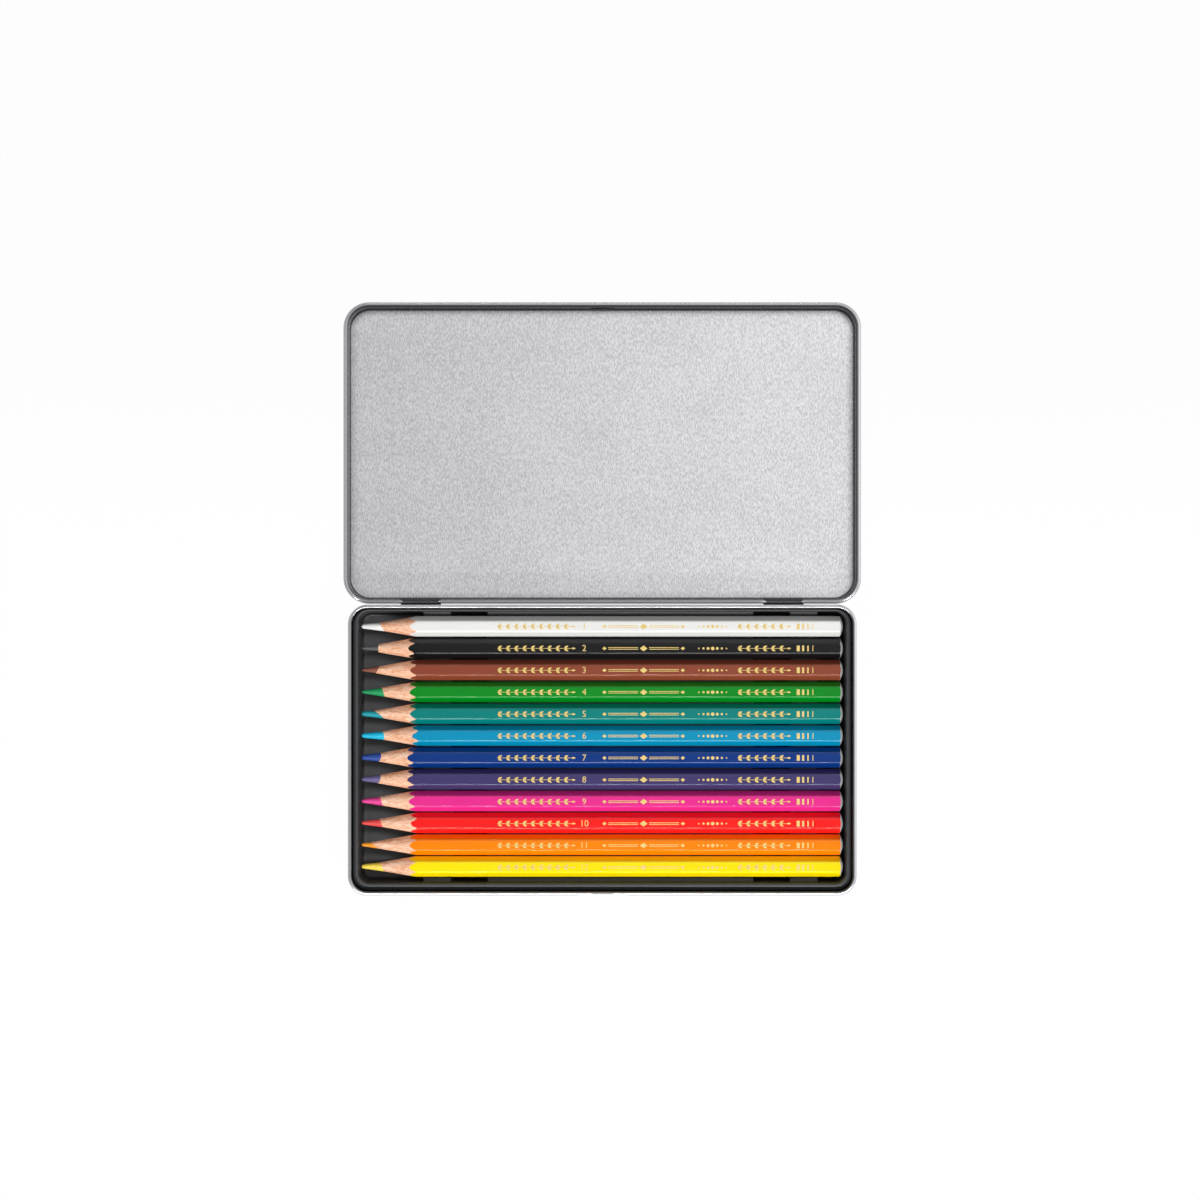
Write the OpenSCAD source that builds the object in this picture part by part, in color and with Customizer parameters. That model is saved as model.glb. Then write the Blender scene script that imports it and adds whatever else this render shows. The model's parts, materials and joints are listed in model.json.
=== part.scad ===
// Sheet metal pencil tin with twelve hexagonal coloured pencils in a thermoformed tray.
// It is drawn open: the lid lies flat behind the base, hinged on its own rolled rim.
// Millimetres. The origin is the middle of the base's underside. X runs along the
// pencils towards their domed ends, Y towards the lid and Z up.

/* [Pencils] */
// Length of a pencil, point to domed end
pencil_l = 175; // [140:1:215]
// Width of the hexagon across its flats
pencil_flats = 6.8; // [5.6:0.1:8.2]
// What the rounding takes off each corner of the hexagon
corner_trim = 0.17; // [0.05:0.01:0.3]
// Gap between neighbouring pencils, corner to corner
pencil_gap = 0.42; // [0.3:0.01:1]
// Diameter of the coloured core
core_d = 3; // [2.2:0.1:3.8]
// Half angle of the sharpened point, in degrees
point_angle = 9.7; // [8:0.1:14]
// Radius of the worn tip
tip_r = 0.35; // [0.2:0.05:0.6]
// Height of the domed end
dome_h = 1.3; // [0.6:0.1:2]

/* [Tray] */
// Thickness of the formed plastic
tray_t = 0.5; // [0.3:0.05:0.7]
// Room between the points and the hollow's edge
tip_room = 0.95; // [0.8:0.05:3]
// Room between the domed ends and the hollow's edge
end_room = 0.95; // [0.8:0.05:3]
// Room between the first pencil and the hollow's back edge
back_room = 1.85; // [1.2:0.05:4]
// Room between the last pencil and the hollow's front edge
front_room = 2.1; // [1.2:0.05:4]
// Width of the flange at both ends
flange_side = 1.7; // [1:0.1:5]
// Width of the flange along the front
flange_front = 2.25; // [0.4:0.05:5]
// Width of the flange along the back
flange_back = 0.55; // [0.5:0.05:5]
// Corner radius of the hollow at the flange
hollow_r = 4.2; // [3.5:0.1:6]
// Draft of the hollow's walls, in degrees
draft = 5; // [1:0.5:8]
// Radius between the hollow's walls and its floor
foot_r = 1.2; // [0.6:0.1:2]
// Deep bay under the points
tip_bay = 23.1; // [12:0.1:30]
// Deep bay at the domed ends
end_bay = 9.9; // [6:0.1:16]
// Length of the cradle at either end
cradle_l = 10.6; // [6:0.1:16]
// Length of the channel beside it
channel_l = 12.75; // [6:0.05:18]
// Pencil tops below the flange
pencil_drop = 0.3; // [0:0.1:1.2]
// Gap between a pencil and its groove
seat_gap = 0.1; // [0.05:0.01:0.25]
// Ridges between the grooves, below the pencils' axes
ridge_drop = 1; // [0.6:0.1:2]

/* [Base] */
// Height of the base, with its rolled rim
base_h = 14; // [11.5:0.1:18]
// Thickness of the tinplate
sheet_t = 0.3; // [0.2:0.01:0.4]
// Diameter of the base's rolled rim
base_roll_d = 1.45; // [1.2:0.05:2]
// Outer corner radius of the base's rolled rim
base_corner_r = 7.1; // [6:0.1:10]
// Radius between the base's walls and its floor
base_foot_r = 1.5; // [0.8:0.1:2.5]
// Flange of the tray below the rim's top
rim_drop = 2.5; // [1.8:0.1:4]
// Gap round the tray
tray_side_gap = 0.3; // [0.1:0.05:0.6]
// Gap under the tray
tray_floor_gap = 0.1; // [0.05:0.05:0.3]
// Width of the thumb notch in the front rim
notch_w = 20; // [12:1:30]
// Depth of the thumb notch
notch_depth = 0.5; // [0.2:0.05:0.6]

/* [Lid] */
// Diameter of the lid's rolled rim, which is also the hinge pin
lid_roll_d = 1.8; // [1.4:0.05:2.2]
// Gap between the closed lid and the base's rim, left and right
lid_side_gap = 0.4; // [0.2:0.05:1]
// The same gap at the hinge
lid_back_gap = 0.35; // [0.25:0.05:1]
// The same gap at the front
lid_front_gap = 0.65; // [0.55:0.05:1.5]
// Gap between the base's rim and the top of the closed lid
head_gap = 0.7; // [0.3:0.1:3]
// Radius between the lid's walls and its top
lid_foot_r = 0.9; // [0.6:0.1:3]
// Width of the dimple in the lid's front wall
dimple_w = 13; // [8:0.5:18]
// How far the dimple stands in
dimple_h = 0.4; // [0.2:0.05:0.45]
// Radius of the tool that presses the dimple
dimple_r = 2; // [1.5:0.1:3]
// Gap between the dimple and the rolled rim above it, lid closed
dimple_gap = 0.05; // [0:0.05:0.5]

/* [Hinge] */
// Distance of each hinge leaf from the middle
leaf_x = 66; // [40:1:70]
// Width of a leaf
leaf_w = 14.6; // [8:0.1:20]
// Width of a leaf at its free end
leaf_tip_w = 12.8; // [6:0.1:20]
// Running gap between a leaf and the rolled rim inside it
leaf_gap = 0.08; // [0.02:0.01:0.1]
// How far a leaf curls round the rolled rim, in degrees past its outer side
leaf_curl = 110; // [60:5:115]
// Gap beside a leaf in the lid's window
window_gap = 0.8; // [0.3:0.1:2]
// Height of the lid's window
window_h = 3.5; // [2.5:0.1:4.5]

/* [Hidden] */
$fn = 64;
// Overshoot of a cut past the face it opens
CUT = 1;
// How far the middle of a swept shape runs into its sides
LAP = 0.1;

PENCILS = [
    ["white", "#eceae6"], ["black", "#2b2b2d"], ["brown", "#8a4a39"], ["green", "#0a8a28"],
    ["teal", "#048078"], ["sky", "#0092bd"], ["navy", "#173a86"], ["violet", "#443a6c"],
    ["pink", "#e8368f"], ["red", "#f3241f"], ["orange", "#ff8800"], ["yellow", "#ffe000"]
];
CASINGS = [for (p = PENCILS) str(p[0], "_casing")];
CORES = [for (p = PENCILS) str(p[0], "_core")];

// Pencil, with its axis up and its tip at the origin
pencil_corners = pencil_flats / cos(30) - 2 * corner_trim;
apex_z = tip_r - tip_r / sin(point_angle);
shoulder_z = apex_z + pencil_corners / 2 / tan(point_angle);
dome_r = (pow(pencil_corners / 2, 2) + pow(dome_h, 2)) / (2 * dome_h);
pitch = pencil_corners + pencil_gap;
row_d = (len(PENCILS) - 1) * pitch + pencil_corners;

// Tray and base, across
hollow_w = pencil_l + tip_room + end_room;
hollow_d = row_d + back_room + front_room;
hollow_y = (flange_front - flange_back) / 2;
tray_w = hollow_w + 2 * flange_side;
tray_d = hollow_d + flange_front + flange_back;
inner_w = tray_w + 2 * tray_side_gap;
inner_d = tray_d + 2 * tray_side_gap;
rim_w = inner_w + 2 * base_roll_d;
rim_d = inner_d + 2 * base_roll_d;
inner_r = base_corner_r - base_roll_d;
tray_r = inner_r - tray_side_gap;

// Tray and base, up
tray_z = sheet_t + tray_floor_gap;
flange_z = base_h - rim_drop;
axis_z = flange_z - pencil_drop - pencil_flats / 2;
ridge_z = axis_z - ridge_drop;

// Pencils in the row, and the cradles under them
tip_x = tip_room - hollow_w / 2;
first_y = hollow_y + hollow_d / 2 - back_room - pencil_corners / 2;
cradle_a = tip_bay - hollow_w / 2;
cradle_b = hollow_w / 2 - end_bay;
cradle_spans = [
    [cradle_a, cradle_a + cradle_l],
    [cradle_a + cradle_l + channel_l, cradle_b - cradle_l - channel_l],
    [cradle_b - cradle_l, cradle_b]
];

// Lid and hinge; an open lid lies flat because the axis is at half the closed height
closed_h = base_h + head_gap + sheet_t;
hinge_z = closed_h / 2;
hinge_y = rim_d / 2 + lid_back_gap + lid_roll_d / 2;
lid_in_w = rim_w + 2 * lid_side_gap;
lid_in_d = rim_d + lid_back_gap + lid_front_gap;
lid_in_r = base_corner_r + lid_side_gap;
lid_y = hinge_y + lid_roll_d / 2 + lid_in_d / 2;
leaf_in_r = lid_roll_d / 2 + leaf_gap;
leaf_out_r = leaf_in_r + sheet_t;

function pencil_y(i) = first_y - i * pitch;

// Half width of a groove at height z, for a hexagon of half width a across its flats
function groove_half(a, z) = (2 * a + z - axis_z) / sqrt(3);

// Runs a profile round a rectangle w by d. The profile's x is measured outwards from
// the axis of a corner of radius r, and its y goes up.
module round_run(w, d, r) {
    for (turn = [0, 180]) rotate(turn) {
        translate([w / 2 - r, d / 2 - r, 0]) {
            rotate([90, 0, 0]) linear_extrude(d - 2 * r) children();
            rotate_extrude(angle = 90) children();
        }
        translate([r - w / 2, d / 2 - r, 0]) {
            rotate([90, 0, 90]) linear_extrude(w - 2 * r) children();
            rotate(90) rotate_extrude(angle = 90) children();
        }
    }
}

// Fills the middle of such a run, w by d between the axes of its corners
module middle(w, d, low_z, top_z) {
    translate([-w / 2 - LAP, -d / 2 - LAP, low_z]) cube([w + 2 * LAP, d + 2 * LAP, top_z - low_z]);
}

module round_plate(w, d, r, t) {
    linear_extrude(t) union() {
        square([w, d - 2 * r], center = true);
        square([w - 2 * r, d], center = true);
        for (x = [-1, 1], y = [-1, 1]) translate([x * (w / 2 - r), y * (d / 2 - r)]) circle(r);
    }
}

// A drawn dish: floor, rounded foot, wall and a rim rolled outwards, whose free edge
// stops just short of the wall. r_in is the inner radius of its corners.
module dish_profile(r_in, foot, roll_d, roll_z) {
    r_out = r_in + sheet_t;
    lip_gap = 0.2;
    square([r_out - foot, sheet_t]);
    translate([r_out - foot, foot]) intersection() {
        difference() {
            circle(foot);
            circle(foot - sheet_t);
        }
        translate([0, -foot]) square(foot);
    }
    translate([r_in, foot]) square([sheet_t, roll_z - foot]);
    translate([r_in + roll_d / 2, roll_z]) difference() {
        circle(d = roll_d);
        circle(d = roll_d - 2 * sheet_t);
        translate([sheet_t - roll_d / 2, -roll_d]) square([lip_gap, roll_d]);
    }
}

module dish(in_w, in_d, r_in, foot, roll_d, roll_z) {
    r_out = r_in + sheet_t;
    round_run(in_w + 2 * sheet_t, in_d + 2 * sheet_t, r_out)
        dish_profile(r_in, foot, roll_d, roll_z);
    middle(in_w - 2 * r_in, in_d - 2 * r_in, 0, sheet_t);
}

// A leaf comes out of the base's back wall, passes under the lid's rolled rim and curls
// up round it, with its free end drawn in
module hinge_leaf() {
    wall_y = inner_d / 2;
    end_y = hinge_y + leaf_in_r * cos(leaf_curl);
    far_y = hinge_y + leaf_out_r;
    far = 2 * leaf_out_r;
    difference() {
        translate([-leaf_w / 2, 0, 0]) rotate([90, 0, 90]) linear_extrude(leaf_w) {
            translate([wall_y, hinge_z - leaf_out_r]) square([hinge_y - wall_y, sheet_t]);
            translate([hinge_y, hinge_z]) difference() {
                circle(leaf_out_r);
                circle(leaf_in_r);
                polygon([[0, 0], far * [cos(leaf_curl), sin(leaf_curl)], [-far, far], [-far, -far], [0, -far]]);
            }
        }
        for (side = [0, 1]) mirror([side, 0, 0]) translate([0, 0, hinge_z]) linear_extrude(far)
            polygon([[leaf_w / 2, far_y], [leaf_tip_w / 2, end_y], [leaf_tip_w / 2, end_y - CUT],
                [leaf_w / 2 + CUT, end_y - CUT], [leaf_w / 2 + CUT, far_y]]);
    }
}

// A thumb notch: the front roll is pressed flat along a wide arc and keeps its skin
module notch_arc(out) {
    r = (pow(notch_w / 2, 2) + pow(notch_depth, 2)) / (2 * notch_depth);
    translate([0, notch_depth - rim_d / 2 - r, 0]) cylinder(r = r + out, h = base_h + CUT);
}

module notch_skin() {
    intersection() {
        translate([-notch_w / 2, base_roll_d / 2 - rim_d / 2, base_h - base_roll_d / 2])
            rotate([0, 90, 0]) cylinder(d = base_roll_d, h = notch_w);
        difference() {
            notch_arc(sheet_t);
            notch_arc(0);
        }
    }
}

module base_shell() {
    leaf_top = hinge_z - leaf_in_r;
    slot_top = base_h - base_roll_d - sheet_t;
    color("silver") {
        difference() {
            dish(inner_w, inner_d, inner_r, base_foot_r, base_roll_d, base_h - base_roll_d / 2);
            for (x = [-leaf_x, leaf_x])
                translate([x - leaf_w / 2, inner_d / 2 - CUT, leaf_top]) cube([leaf_w, 2 * CUT, slot_top - leaf_top]);
            notch_arc(0);
        }
        notch_skin();
        for (x = [-leaf_x, leaf_x]) translate([x, 0, 0]) hinge_leaf();
    }
}

// The tool that presses the dimple, a ring section whose inner side bulges by dimple_h
module dimple_tool() {
    reach = (pow(dimple_w / 2, 2) + pow(dimple_h, 2)) / (2 * dimple_h);
    sweep = 2 * asin(dimple_w / 2 / reach) + 4;
    dimple_z = closed_h - (base_h - base_roll_d - dimple_gap - sqrt(pow(dimple_r, 2) - pow(dimple_r - dimple_h, 2)));
    translate([0, lid_in_d / 2 - dimple_h + reach, dimple_z]) rotate(-90 - sweep / 2)
        rotate_extrude(angle = sweep) translate([reach - dimple_r, 0]) circle(dimple_r);
}

module lid_windows() {
    wall_y = -lid_in_d / 2 - sheet_t;
    window_w = leaf_w + 2 * window_gap;
    for (x = [-leaf_x, leaf_x]) difference() {
        translate([x - window_w / 2, wall_y - sheet_t, hinge_z - window_h]) cube([window_w, 2 * CUT, window_h]);
        translate([x - window_w / 2 - CUT, -lid_in_d / 2 - lid_roll_d / 2, hinge_z])
            rotate([0, 90, 0]) cylinder(d = lid_roll_d, h = window_w + 2 * CUT);
    }
}

module lid_shell() {
    color("gainsboro") translate([0, lid_y, 0]) difference() {
        union() {
            difference() {
                dish(lid_in_w, lid_in_d, lid_in_r, lid_foot_r, lid_roll_d, hinge_z);
                lid_windows();
            }
            intersection() {
                dimple_tool();
                translate([-dimple_w, 0, 0]) cube([2 * dimple_w, lid_in_d / 2 + sheet_t, closed_h]);
            }
        }
        translate([0, sheet_t, 0]) dimple_tool();
    }
}

// The tray's tapering hollow from floor_z to top_z; grow moves its walls outwards
module hollow(grow, floor_z, top_z, foot) {
    lean = tan(draft);
    foot_u = hollow_r + grow / cos(draft) - (flange_z - floor_z) * lean;
    top_u = foot_u + (top_z - floor_z) * lean;
    arc_u = foot_u + foot * (lean - 1 / cos(draft));
    translate([0, hollow_y, 0]) {
        round_run(hollow_w, hollow_d, hollow_r) {
            polygon([[0, floor_z], [arc_u, floor_z],
                [arc_u + foot * cos(draft), floor_z + foot * (1 - sin(draft))], [top_u, top_z], [0, top_z]]);
            translate([arc_u, floor_z + foot]) circle(foot);
        }
        middle(hollow_w - 2 * hollow_r, hollow_d - 2 * hollow_r, floor_z, top_z);
    }
}

// Section across the cradles: grooves for hexagons of half width a, whose ridges and
// side ledges are lowered by drop, between two walls half_d away from the hollow's middle
module cradle_section(a, drop, half_d, bottom_z) {
    last = len(PENCILS) - 1;
    points = [for (i = [last:-1:0]) let (
            y = pencil_y(i),
            low = (i == last ? axis_z : ridge_z) - drop,
            high = (i == 0 ? axis_z : ridge_z) - drop)
        each [[y - groove_half(a, low), low], [y - a / sqrt(3), axis_z - a],
            [y + a / sqrt(3), axis_z - a], [y + groove_half(a, high), high]]];
    front_y = hollow_y - half_d;
    back_y = hollow_y + half_d;
    polygon(concat([[front_y, bottom_z], [front_y, axis_z - drop]], points,
        [[back_y, axis_z - drop], [back_y, bottom_z]]));
}

module pencil_tray() {
    seat_a = pencil_flats / 2 + seat_gap;
    floor_half = hollow_d / 2 - (flange_z - tray_z) * tan(draft);
    color("#3a3b3d") difference() {
        union() {
            difference() {
                union() {
                    translate([0, 0, flange_z - tray_t]) round_plate(tray_w, tray_d, tray_r, tray_t);
                    hollow(tray_t, tray_z, flange_z, foot_r + tray_t);
                }
                hollow(0, tray_z + tray_t, flange_z + CUT, foot_r);
            }
            intersection() {
                hollow(tray_t, tray_z, flange_z, foot_r + tray_t);
                for (span = cradle_spans) translate([span[0], 0, 0]) rotate([90, 0, 90])
                    linear_extrude(span[1] - span[0]) cradle_section(seat_a, 0, hollow_d / 2, tray_z);
            }
        }
        for (span = cradle_spans) translate([span[0] + tray_t, 0, 0]) rotate([90, 0, 90])
            linear_extrude(span[1] - span[0] - 2 * tray_t)
                cradle_section(seat_a + tray_t, tray_t, floor_half, tray_z - CUT);
    }
}

// Half outline of a pencil turned about its axis: rounded tip, cone, barrel and dome
module pencil_outline() {
    intersection() {
        union() {
            translate([0, tip_r]) circle(tip_r);
            polygon([[0, tip_r * (1 - sin(point_angle))],
                tip_r * [cos(point_angle), 1 - sin(point_angle)],
                [pencil_corners / 2, shoulder_z], [pencil_corners / 2, pencil_l], [0, pencil_l]]);
        }
        union() {
            square([pencil_corners, pencil_l - dome_h]);
            translate([0, pencil_l - dome_r]) circle(dome_r);
        }
    }
}

module in_row(i) {
    translate([tip_x, pencil_y(i), axis_z]) rotate([0, 90, 0]) children();
}

// Cedar casing with its lacquer and the dipped dome that closes the bore
module pencil_casing(i) {
    color(PENCILS[i][1]) in_row(i) difference() {
        intersection() {
            linear_extrude(pencil_l) rotate(30) circle(d = pencil_flats / cos(30), $fn = 6);
            rotate_extrude() pencil_outline();
        }
        translate([0, 0, -CUT]) cylinder(d = core_d, h = pencil_l - dome_h + CUT);
    }
}

module pencil_core(i) {
    color(PENCILS[i][1]) in_row(i) intersection() {
        cylinder(d = core_d, h = pencil_l - dome_h);
        rotate_extrude() pencil_outline();
    }
}

base_shell();
lid_shell();
pencil_tray();
for (i = [0:len(PENCILS) - 1]) {
    pencil_casing(i);
    pencil_core(i);
}
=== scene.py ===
"""Looks of an open sheet metal pencil tin with twelve hexagonal coloured pencils.

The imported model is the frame. X runs along the pencils towards their domed ends, Y
towards the open lid and Z up. Shapes are worked out in millimetres, and a finished
piece is scaled to metres in its mesh.
"""

import json
import logging
import math
import random
from collections.abc import Callable, Iterable, Sequence
from dataclasses import dataclass, field
from enum import Enum
from itertools import pairwise

import bmesh
import bpy
from mathutils import Matrix, Vector


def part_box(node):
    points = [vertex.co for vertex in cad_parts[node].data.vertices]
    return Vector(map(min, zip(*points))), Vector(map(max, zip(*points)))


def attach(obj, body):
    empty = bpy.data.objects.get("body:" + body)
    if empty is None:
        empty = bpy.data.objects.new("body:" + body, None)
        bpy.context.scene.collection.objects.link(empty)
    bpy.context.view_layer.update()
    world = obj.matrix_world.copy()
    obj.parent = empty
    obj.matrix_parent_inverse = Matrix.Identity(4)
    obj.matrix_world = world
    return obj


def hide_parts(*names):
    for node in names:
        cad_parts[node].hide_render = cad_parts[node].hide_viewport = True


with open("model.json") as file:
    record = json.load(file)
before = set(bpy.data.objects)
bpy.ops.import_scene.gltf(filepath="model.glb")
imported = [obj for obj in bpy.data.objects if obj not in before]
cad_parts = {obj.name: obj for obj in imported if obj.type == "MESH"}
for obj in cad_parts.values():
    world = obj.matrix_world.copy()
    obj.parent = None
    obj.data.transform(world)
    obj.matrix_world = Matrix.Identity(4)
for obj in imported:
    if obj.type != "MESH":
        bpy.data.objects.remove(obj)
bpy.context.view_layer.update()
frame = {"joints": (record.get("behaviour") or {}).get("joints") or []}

LOG = logging.getLogger("pencil_tin")
MM = 0.001
WELD = 0.002
# Name of the vertex share of painted shade on the tin: darker floor edge, walls and roll flanks.
PAINTED_SHADE = "drawn"
CORNER = "corner"

Point = tuple[float, float]
Place = tuple[float, float, float]
Colour = tuple[float, float, float, float]
Verts = list[bmesh.types.BMVert]
Piece = bpy.types.Object
Paint = bpy.types.Material

BLACK: Colour = (0, 0, 0, 1)
WHITE: Colour = (1, 1, 1, 1)


def tone(code: str) -> Colour:
    """Turns a colour such as #c08040 into the linear colour that a shader takes.

    Args:
        code: The colour as it looks on a screen.

    Returns:
        Its linear red, green and blue, and an alpha of 1.
    """
    parts = [int(code[k:k + 2], 16) / 255 for k in (1, 3, 5)]
    red, green, blue = (p / 12.92 if p <= 0.04045 else ((p + 0.055) / 1.055) ** 2.4 for p in parts)
    return red, green, blue, 1.0


def tinted(colour: Colour, gain: float, lift: float = 0.0) -> Colour:
    """A linear colour made brighter by a gain and a lift, or darker."""
    red, green, blue = (min(1.0, part * gain + lift) for part in colour[:3])
    return red, green, blue, 1.0


def clamp(value: float) -> float:
    """Keeps a value between 0 and 1."""
    return max(0.0, min(1.0, value))


def rounded(points: Sequence[Point], radii: Sequence[float], steps: int) -> list[Point]:
    """Puts an arc at each inner corner of a line.

    Args:
        points: The corners of the line, with its two ends.
        radii: The radius at each inner corner.
        steps: How many straight pieces an arc has.

    Returns:
        The points of the rounded line.
    """
    straight = math.radians(89)
    line = [points[0]]
    for before, corner, after, radius in zip(points, points[1:], points[2:], radii):
        here = Vector(corner)
        back, ahead = (Vector(before) - here).normalized(), (Vector(after) - here).normalized()
        half = back.angle(ahead) / 2
        if half > straight:
            line.append(corner)
            continue
        centre = here + (back + ahead).normalized() * radius / math.sin(half)
        start = here + back * radius / math.tan(half) - centre
        end = here + ahead * radius / math.tan(half) - centre
        for k in range(steps + 1):
            line.append(tuple(centre + start.slerp(end, k / steps) * radius))
    line.append(points[-1])
    return line


def arc(centre: Point, radius: float, start: float, end: float, steps: int) -> list[Point]:
    """Lays points along an arc from one angle to another in degrees, both ends included."""
    angles = [math.radians(start + (end - start) * k / steps) for k in range(steps + 1)]
    return [(centre[0] + radius * math.cos(a), centre[1] + radius * math.sin(a)) for a in angles]


def height_at(line: Sequence[Point], where: float) -> float:
    """Reads a line's second value where its rising first value is given.

    Args:
        line: Points whose first value never falls.
        where: The first value to read at.

    Returns:
        The second value there.
    """
    for (x0, y0), (x1, y1) in pairwise(line):
        if x0 <= where <= x1 and x1 > x0:
            return y0 + (y1 - y0) * (where - x0) / (x1 - x0)
    return line[0][1] if where < line[0][0] else line[-1][1]


def turn_about(axis: str, degrees: float) -> Matrix:
    """The matrix of a turn about X, Y or Z."""
    return Matrix.Rotation(math.radians(degrees), 3, axis)


@dataclass(frozen=True)
class Box:
    """Where a CAD node is, in millimetres."""

    low: Vector
    high: Vector

    @classmethod
    def of(cls, node: str) -> "Box":
        """Reads the box of a node."""
        low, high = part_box(node)
        return cls(low / MM, high / MM)

    @property
    def size(self) -> Vector:
        """Its width, depth and height."""
        return self.high - self.low

    @property
    def centre(self) -> Vector:
        """Its middle."""
        return (self.low + self.high) / 2


@dataclass(frozen=True)
class Tag:
    """What a piece is called, what it rides on, its slot and the nodes it stands for."""

    name: str
    body: str
    slot: str
    replaces: tuple[str, ...] = ()


class Ends(Enum):
    """How the two ends of a tube are closed."""

    POLE_AND_FLAT = "pole and flat"
    FLAT_AND_POLE = "flat and pole"
    JOINED = "joined"


class Shape:
    """A mesh in the making, in millimetres."""

    def __init__(self) -> None:
        """Starts with nothing."""
        self.bm = bmesh.new()

    def chain(self, points: Iterable[Vector]) -> Verts:
        """Lays vertices joined in a line, to be swept into a sheet.

        Args:
            points: Their places.

        Returns:
            The vertices in order.
        """
        verts = [self.bm.verts.new(p) for p in points]
        for pair in pairwise(verts):
            self.bm.edges.new(pair)
        return verts

    def edges_of(self, verts: Verts, closed: bool) -> list[bmesh.types.BMEdge]:
        """Finds the edges along a line of vertices, or round a closed one."""
        pairs = list(pairwise(verts)) + ([(verts[-1], verts[0])] if closed else [])
        return [self.bm.edges.get(pair) for pair in pairs]

    def extrude(self, verts: Verts, closed: bool = False) -> Verts:
        """Extrudes a line of vertices in place.

        Args:
            verts: The vertices in order.
            closed: Whether they form a ring.

        Returns:
            The new vertices in the same order.
        """
        made = bmesh.ops.extrude_edge_only(self.bm, edges=self.edges_of(verts, closed))["geom"]
        fresh = {g for g in made if isinstance(g, bmesh.types.BMVert)}
        return [next(e.other_vert(v) for e in v.link_edges if e.other_vert(v) in fresh)
                for v in verts]

    def shift(self, verts: Verts, by: Vector) -> Verts:
        """Extrudes a line of vertices and moves the new ones.

        Args:
            verts: The vertices in order.
            by: How far the new ones move.

        Returns:
            The new vertices in the same order.
        """
        verts = self.extrude(verts)
        bmesh.ops.translate(self.bm, verts=verts, vec=by)
        return verts

    def revolve(self, verts: Verts, centre: Vector, axis: str, angle: float, steps: int) -> Verts:
        """Sweeps a line of vertices round an axis.

        Args:
            verts: The vertices in order.
            centre: A point on the axis.
            axis: X, Y or Z.
            angle: How far it turns, in degrees.
            steps: How many steps it takes.

        Returns:
            The last vertices in the same order.
        """
        turn = Matrix.Rotation(math.radians(angle) / steps, 3, axis)
        for _ in range(steps):
            verts = self.extrude(verts)
            bmesh.ops.rotate(self.bm, verts=verts, cent=centre, matrix=turn)
        return verts

    def run_round(self, profile: Sequence[Point], half: Point, centre_y: float,
                  steps: int) -> None:
        """Sweeps an open profile round a rounded rectangle and closes the run.

        Args:
            profile: Points as distance out from a corner's axis, and height.
            half: How far the corners' axes are from the middle, along X and Y.
            centre_y: The middle along Y.
            steps: How many steps a corner has.
        """
        cx, cy = half
        verts = self.chain(Vector((cx + u, centre_y - cy, z)) for u, z in profile)
        for sx, sy, way in ((1, 1, (0, 2 * cy, 0)), (-1, 1, (-2 * cx, 0, 0)),
                            (-1, -1, (0, -2 * cy, 0)), (1, -1, (2 * cx, 0, 0))):
            verts = self.shift(verts, Vector(way))
            axis = Vector((sx * cx, centre_y + sy * cy, 0))
            verts = self.revolve(verts, axis, "Z", 90, steps)
        self.weld()

    def sweep(self, sections: Iterable[Sequence[Vector]]) -> None:
        """Lays the first section as a line of vertices and extrudes it through the others.

        Args:
            sections: The places of each section's vertices, as many in every section.
        """
        verts: Verts = []
        for section in sections:
            verts = self.extrude(verts) if verts else self.chain(section)
            for vert, place in zip(verts, section):
                vert.co = place

    def tube(self, rings: Sequence[Sequence[Vector]], ends: Ends) -> list[Verts]:
        """Extrudes a circle from ring to ring and closes it, with its faces outwards.

        Args:
            rings: The places of each ring's vertices, as many in every ring.
            ends: How it is closed.

        Returns:
            The vertices of each ring, those of a pole merged.
        """
        verts = bmesh.ops.create_circle(self.bm, segments=len(rings[0]), radius=1)["verts"]
        made = []
        for ring in rings:
            verts = self.extrude(verts, closed=True) if made else verts
            for vert, place in zip(verts, ring):
                vert.co = place
            made.append(verts)
        first, last = made[0], made[-1]
        if ends is Ends.JOINED:
            edges = self.edges_of(first, True) + self.edges_of(last, True)
            bmesh.ops.bridge_loops(self.bm, edges=edges)
        else:
            pole, flat = (first, last) if ends is Ends.POLE_AND_FLAT else (last, first)
            self.bm.faces.new(flat)
            middle = sum((v.co for v in pole), Vector()) / len(pole)
            bmesh.ops.pointmerge(self.bm, verts=pole, merge_co=middle)
        self.outward()
        return made

    def slice(self, chosen: Callable[[Vector], bool], places: Iterable[float]) -> None:
        """Cuts new edge lines, square to X, through some of the faces.

        Args:
            chosen: Says of a face's middle whether the face is cut.
            places: Where the cuts are along X.
        """
        across = Vector((1, 0, 0))
        for place in places:
            faces = [f for f in self.bm.faces if chosen(f.calc_center_bounds())]
            geometry = {g for f in faces for g in (f, *f.edges, *f.verts)}
            bmesh.ops.bisect_plane(self.bm, geom=list(geometry), dist=WELD,
                                   plane_co=across * place, plane_no=across)

    def drop(self, chosen: Callable[[Vector], bool]) -> None:
        """Deletes the faces whose middle is chosen."""
        faces = [f for f in self.bm.faces if chosen(f.calc_center_median())]
        bmesh.ops.delete(self.bm, geom=faces, context="FACES")

    def close(self, chosen: Callable[[Vector], bool]) -> None:
        """Fills the hole whose rim vertices are all chosen with one face."""
        rim = [e for e in self.bm.edges if e.is_boundary and all(chosen(v.co) for v in e.verts)]
        bmesh.ops.edgeloop_fill(self.bm, edges=rim)

    def weld(self) -> None:
        """Merges vertices that lie together."""
        bmesh.ops.remove_doubles(self.bm, verts=self.bm.verts, dist=WELD)

    def outward(self) -> None:
        """Turns all faces outwards, or an open sheet's to one side."""
        bmesh.ops.recalc_face_normals(self.bm, faces=self.bm.faces)

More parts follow.
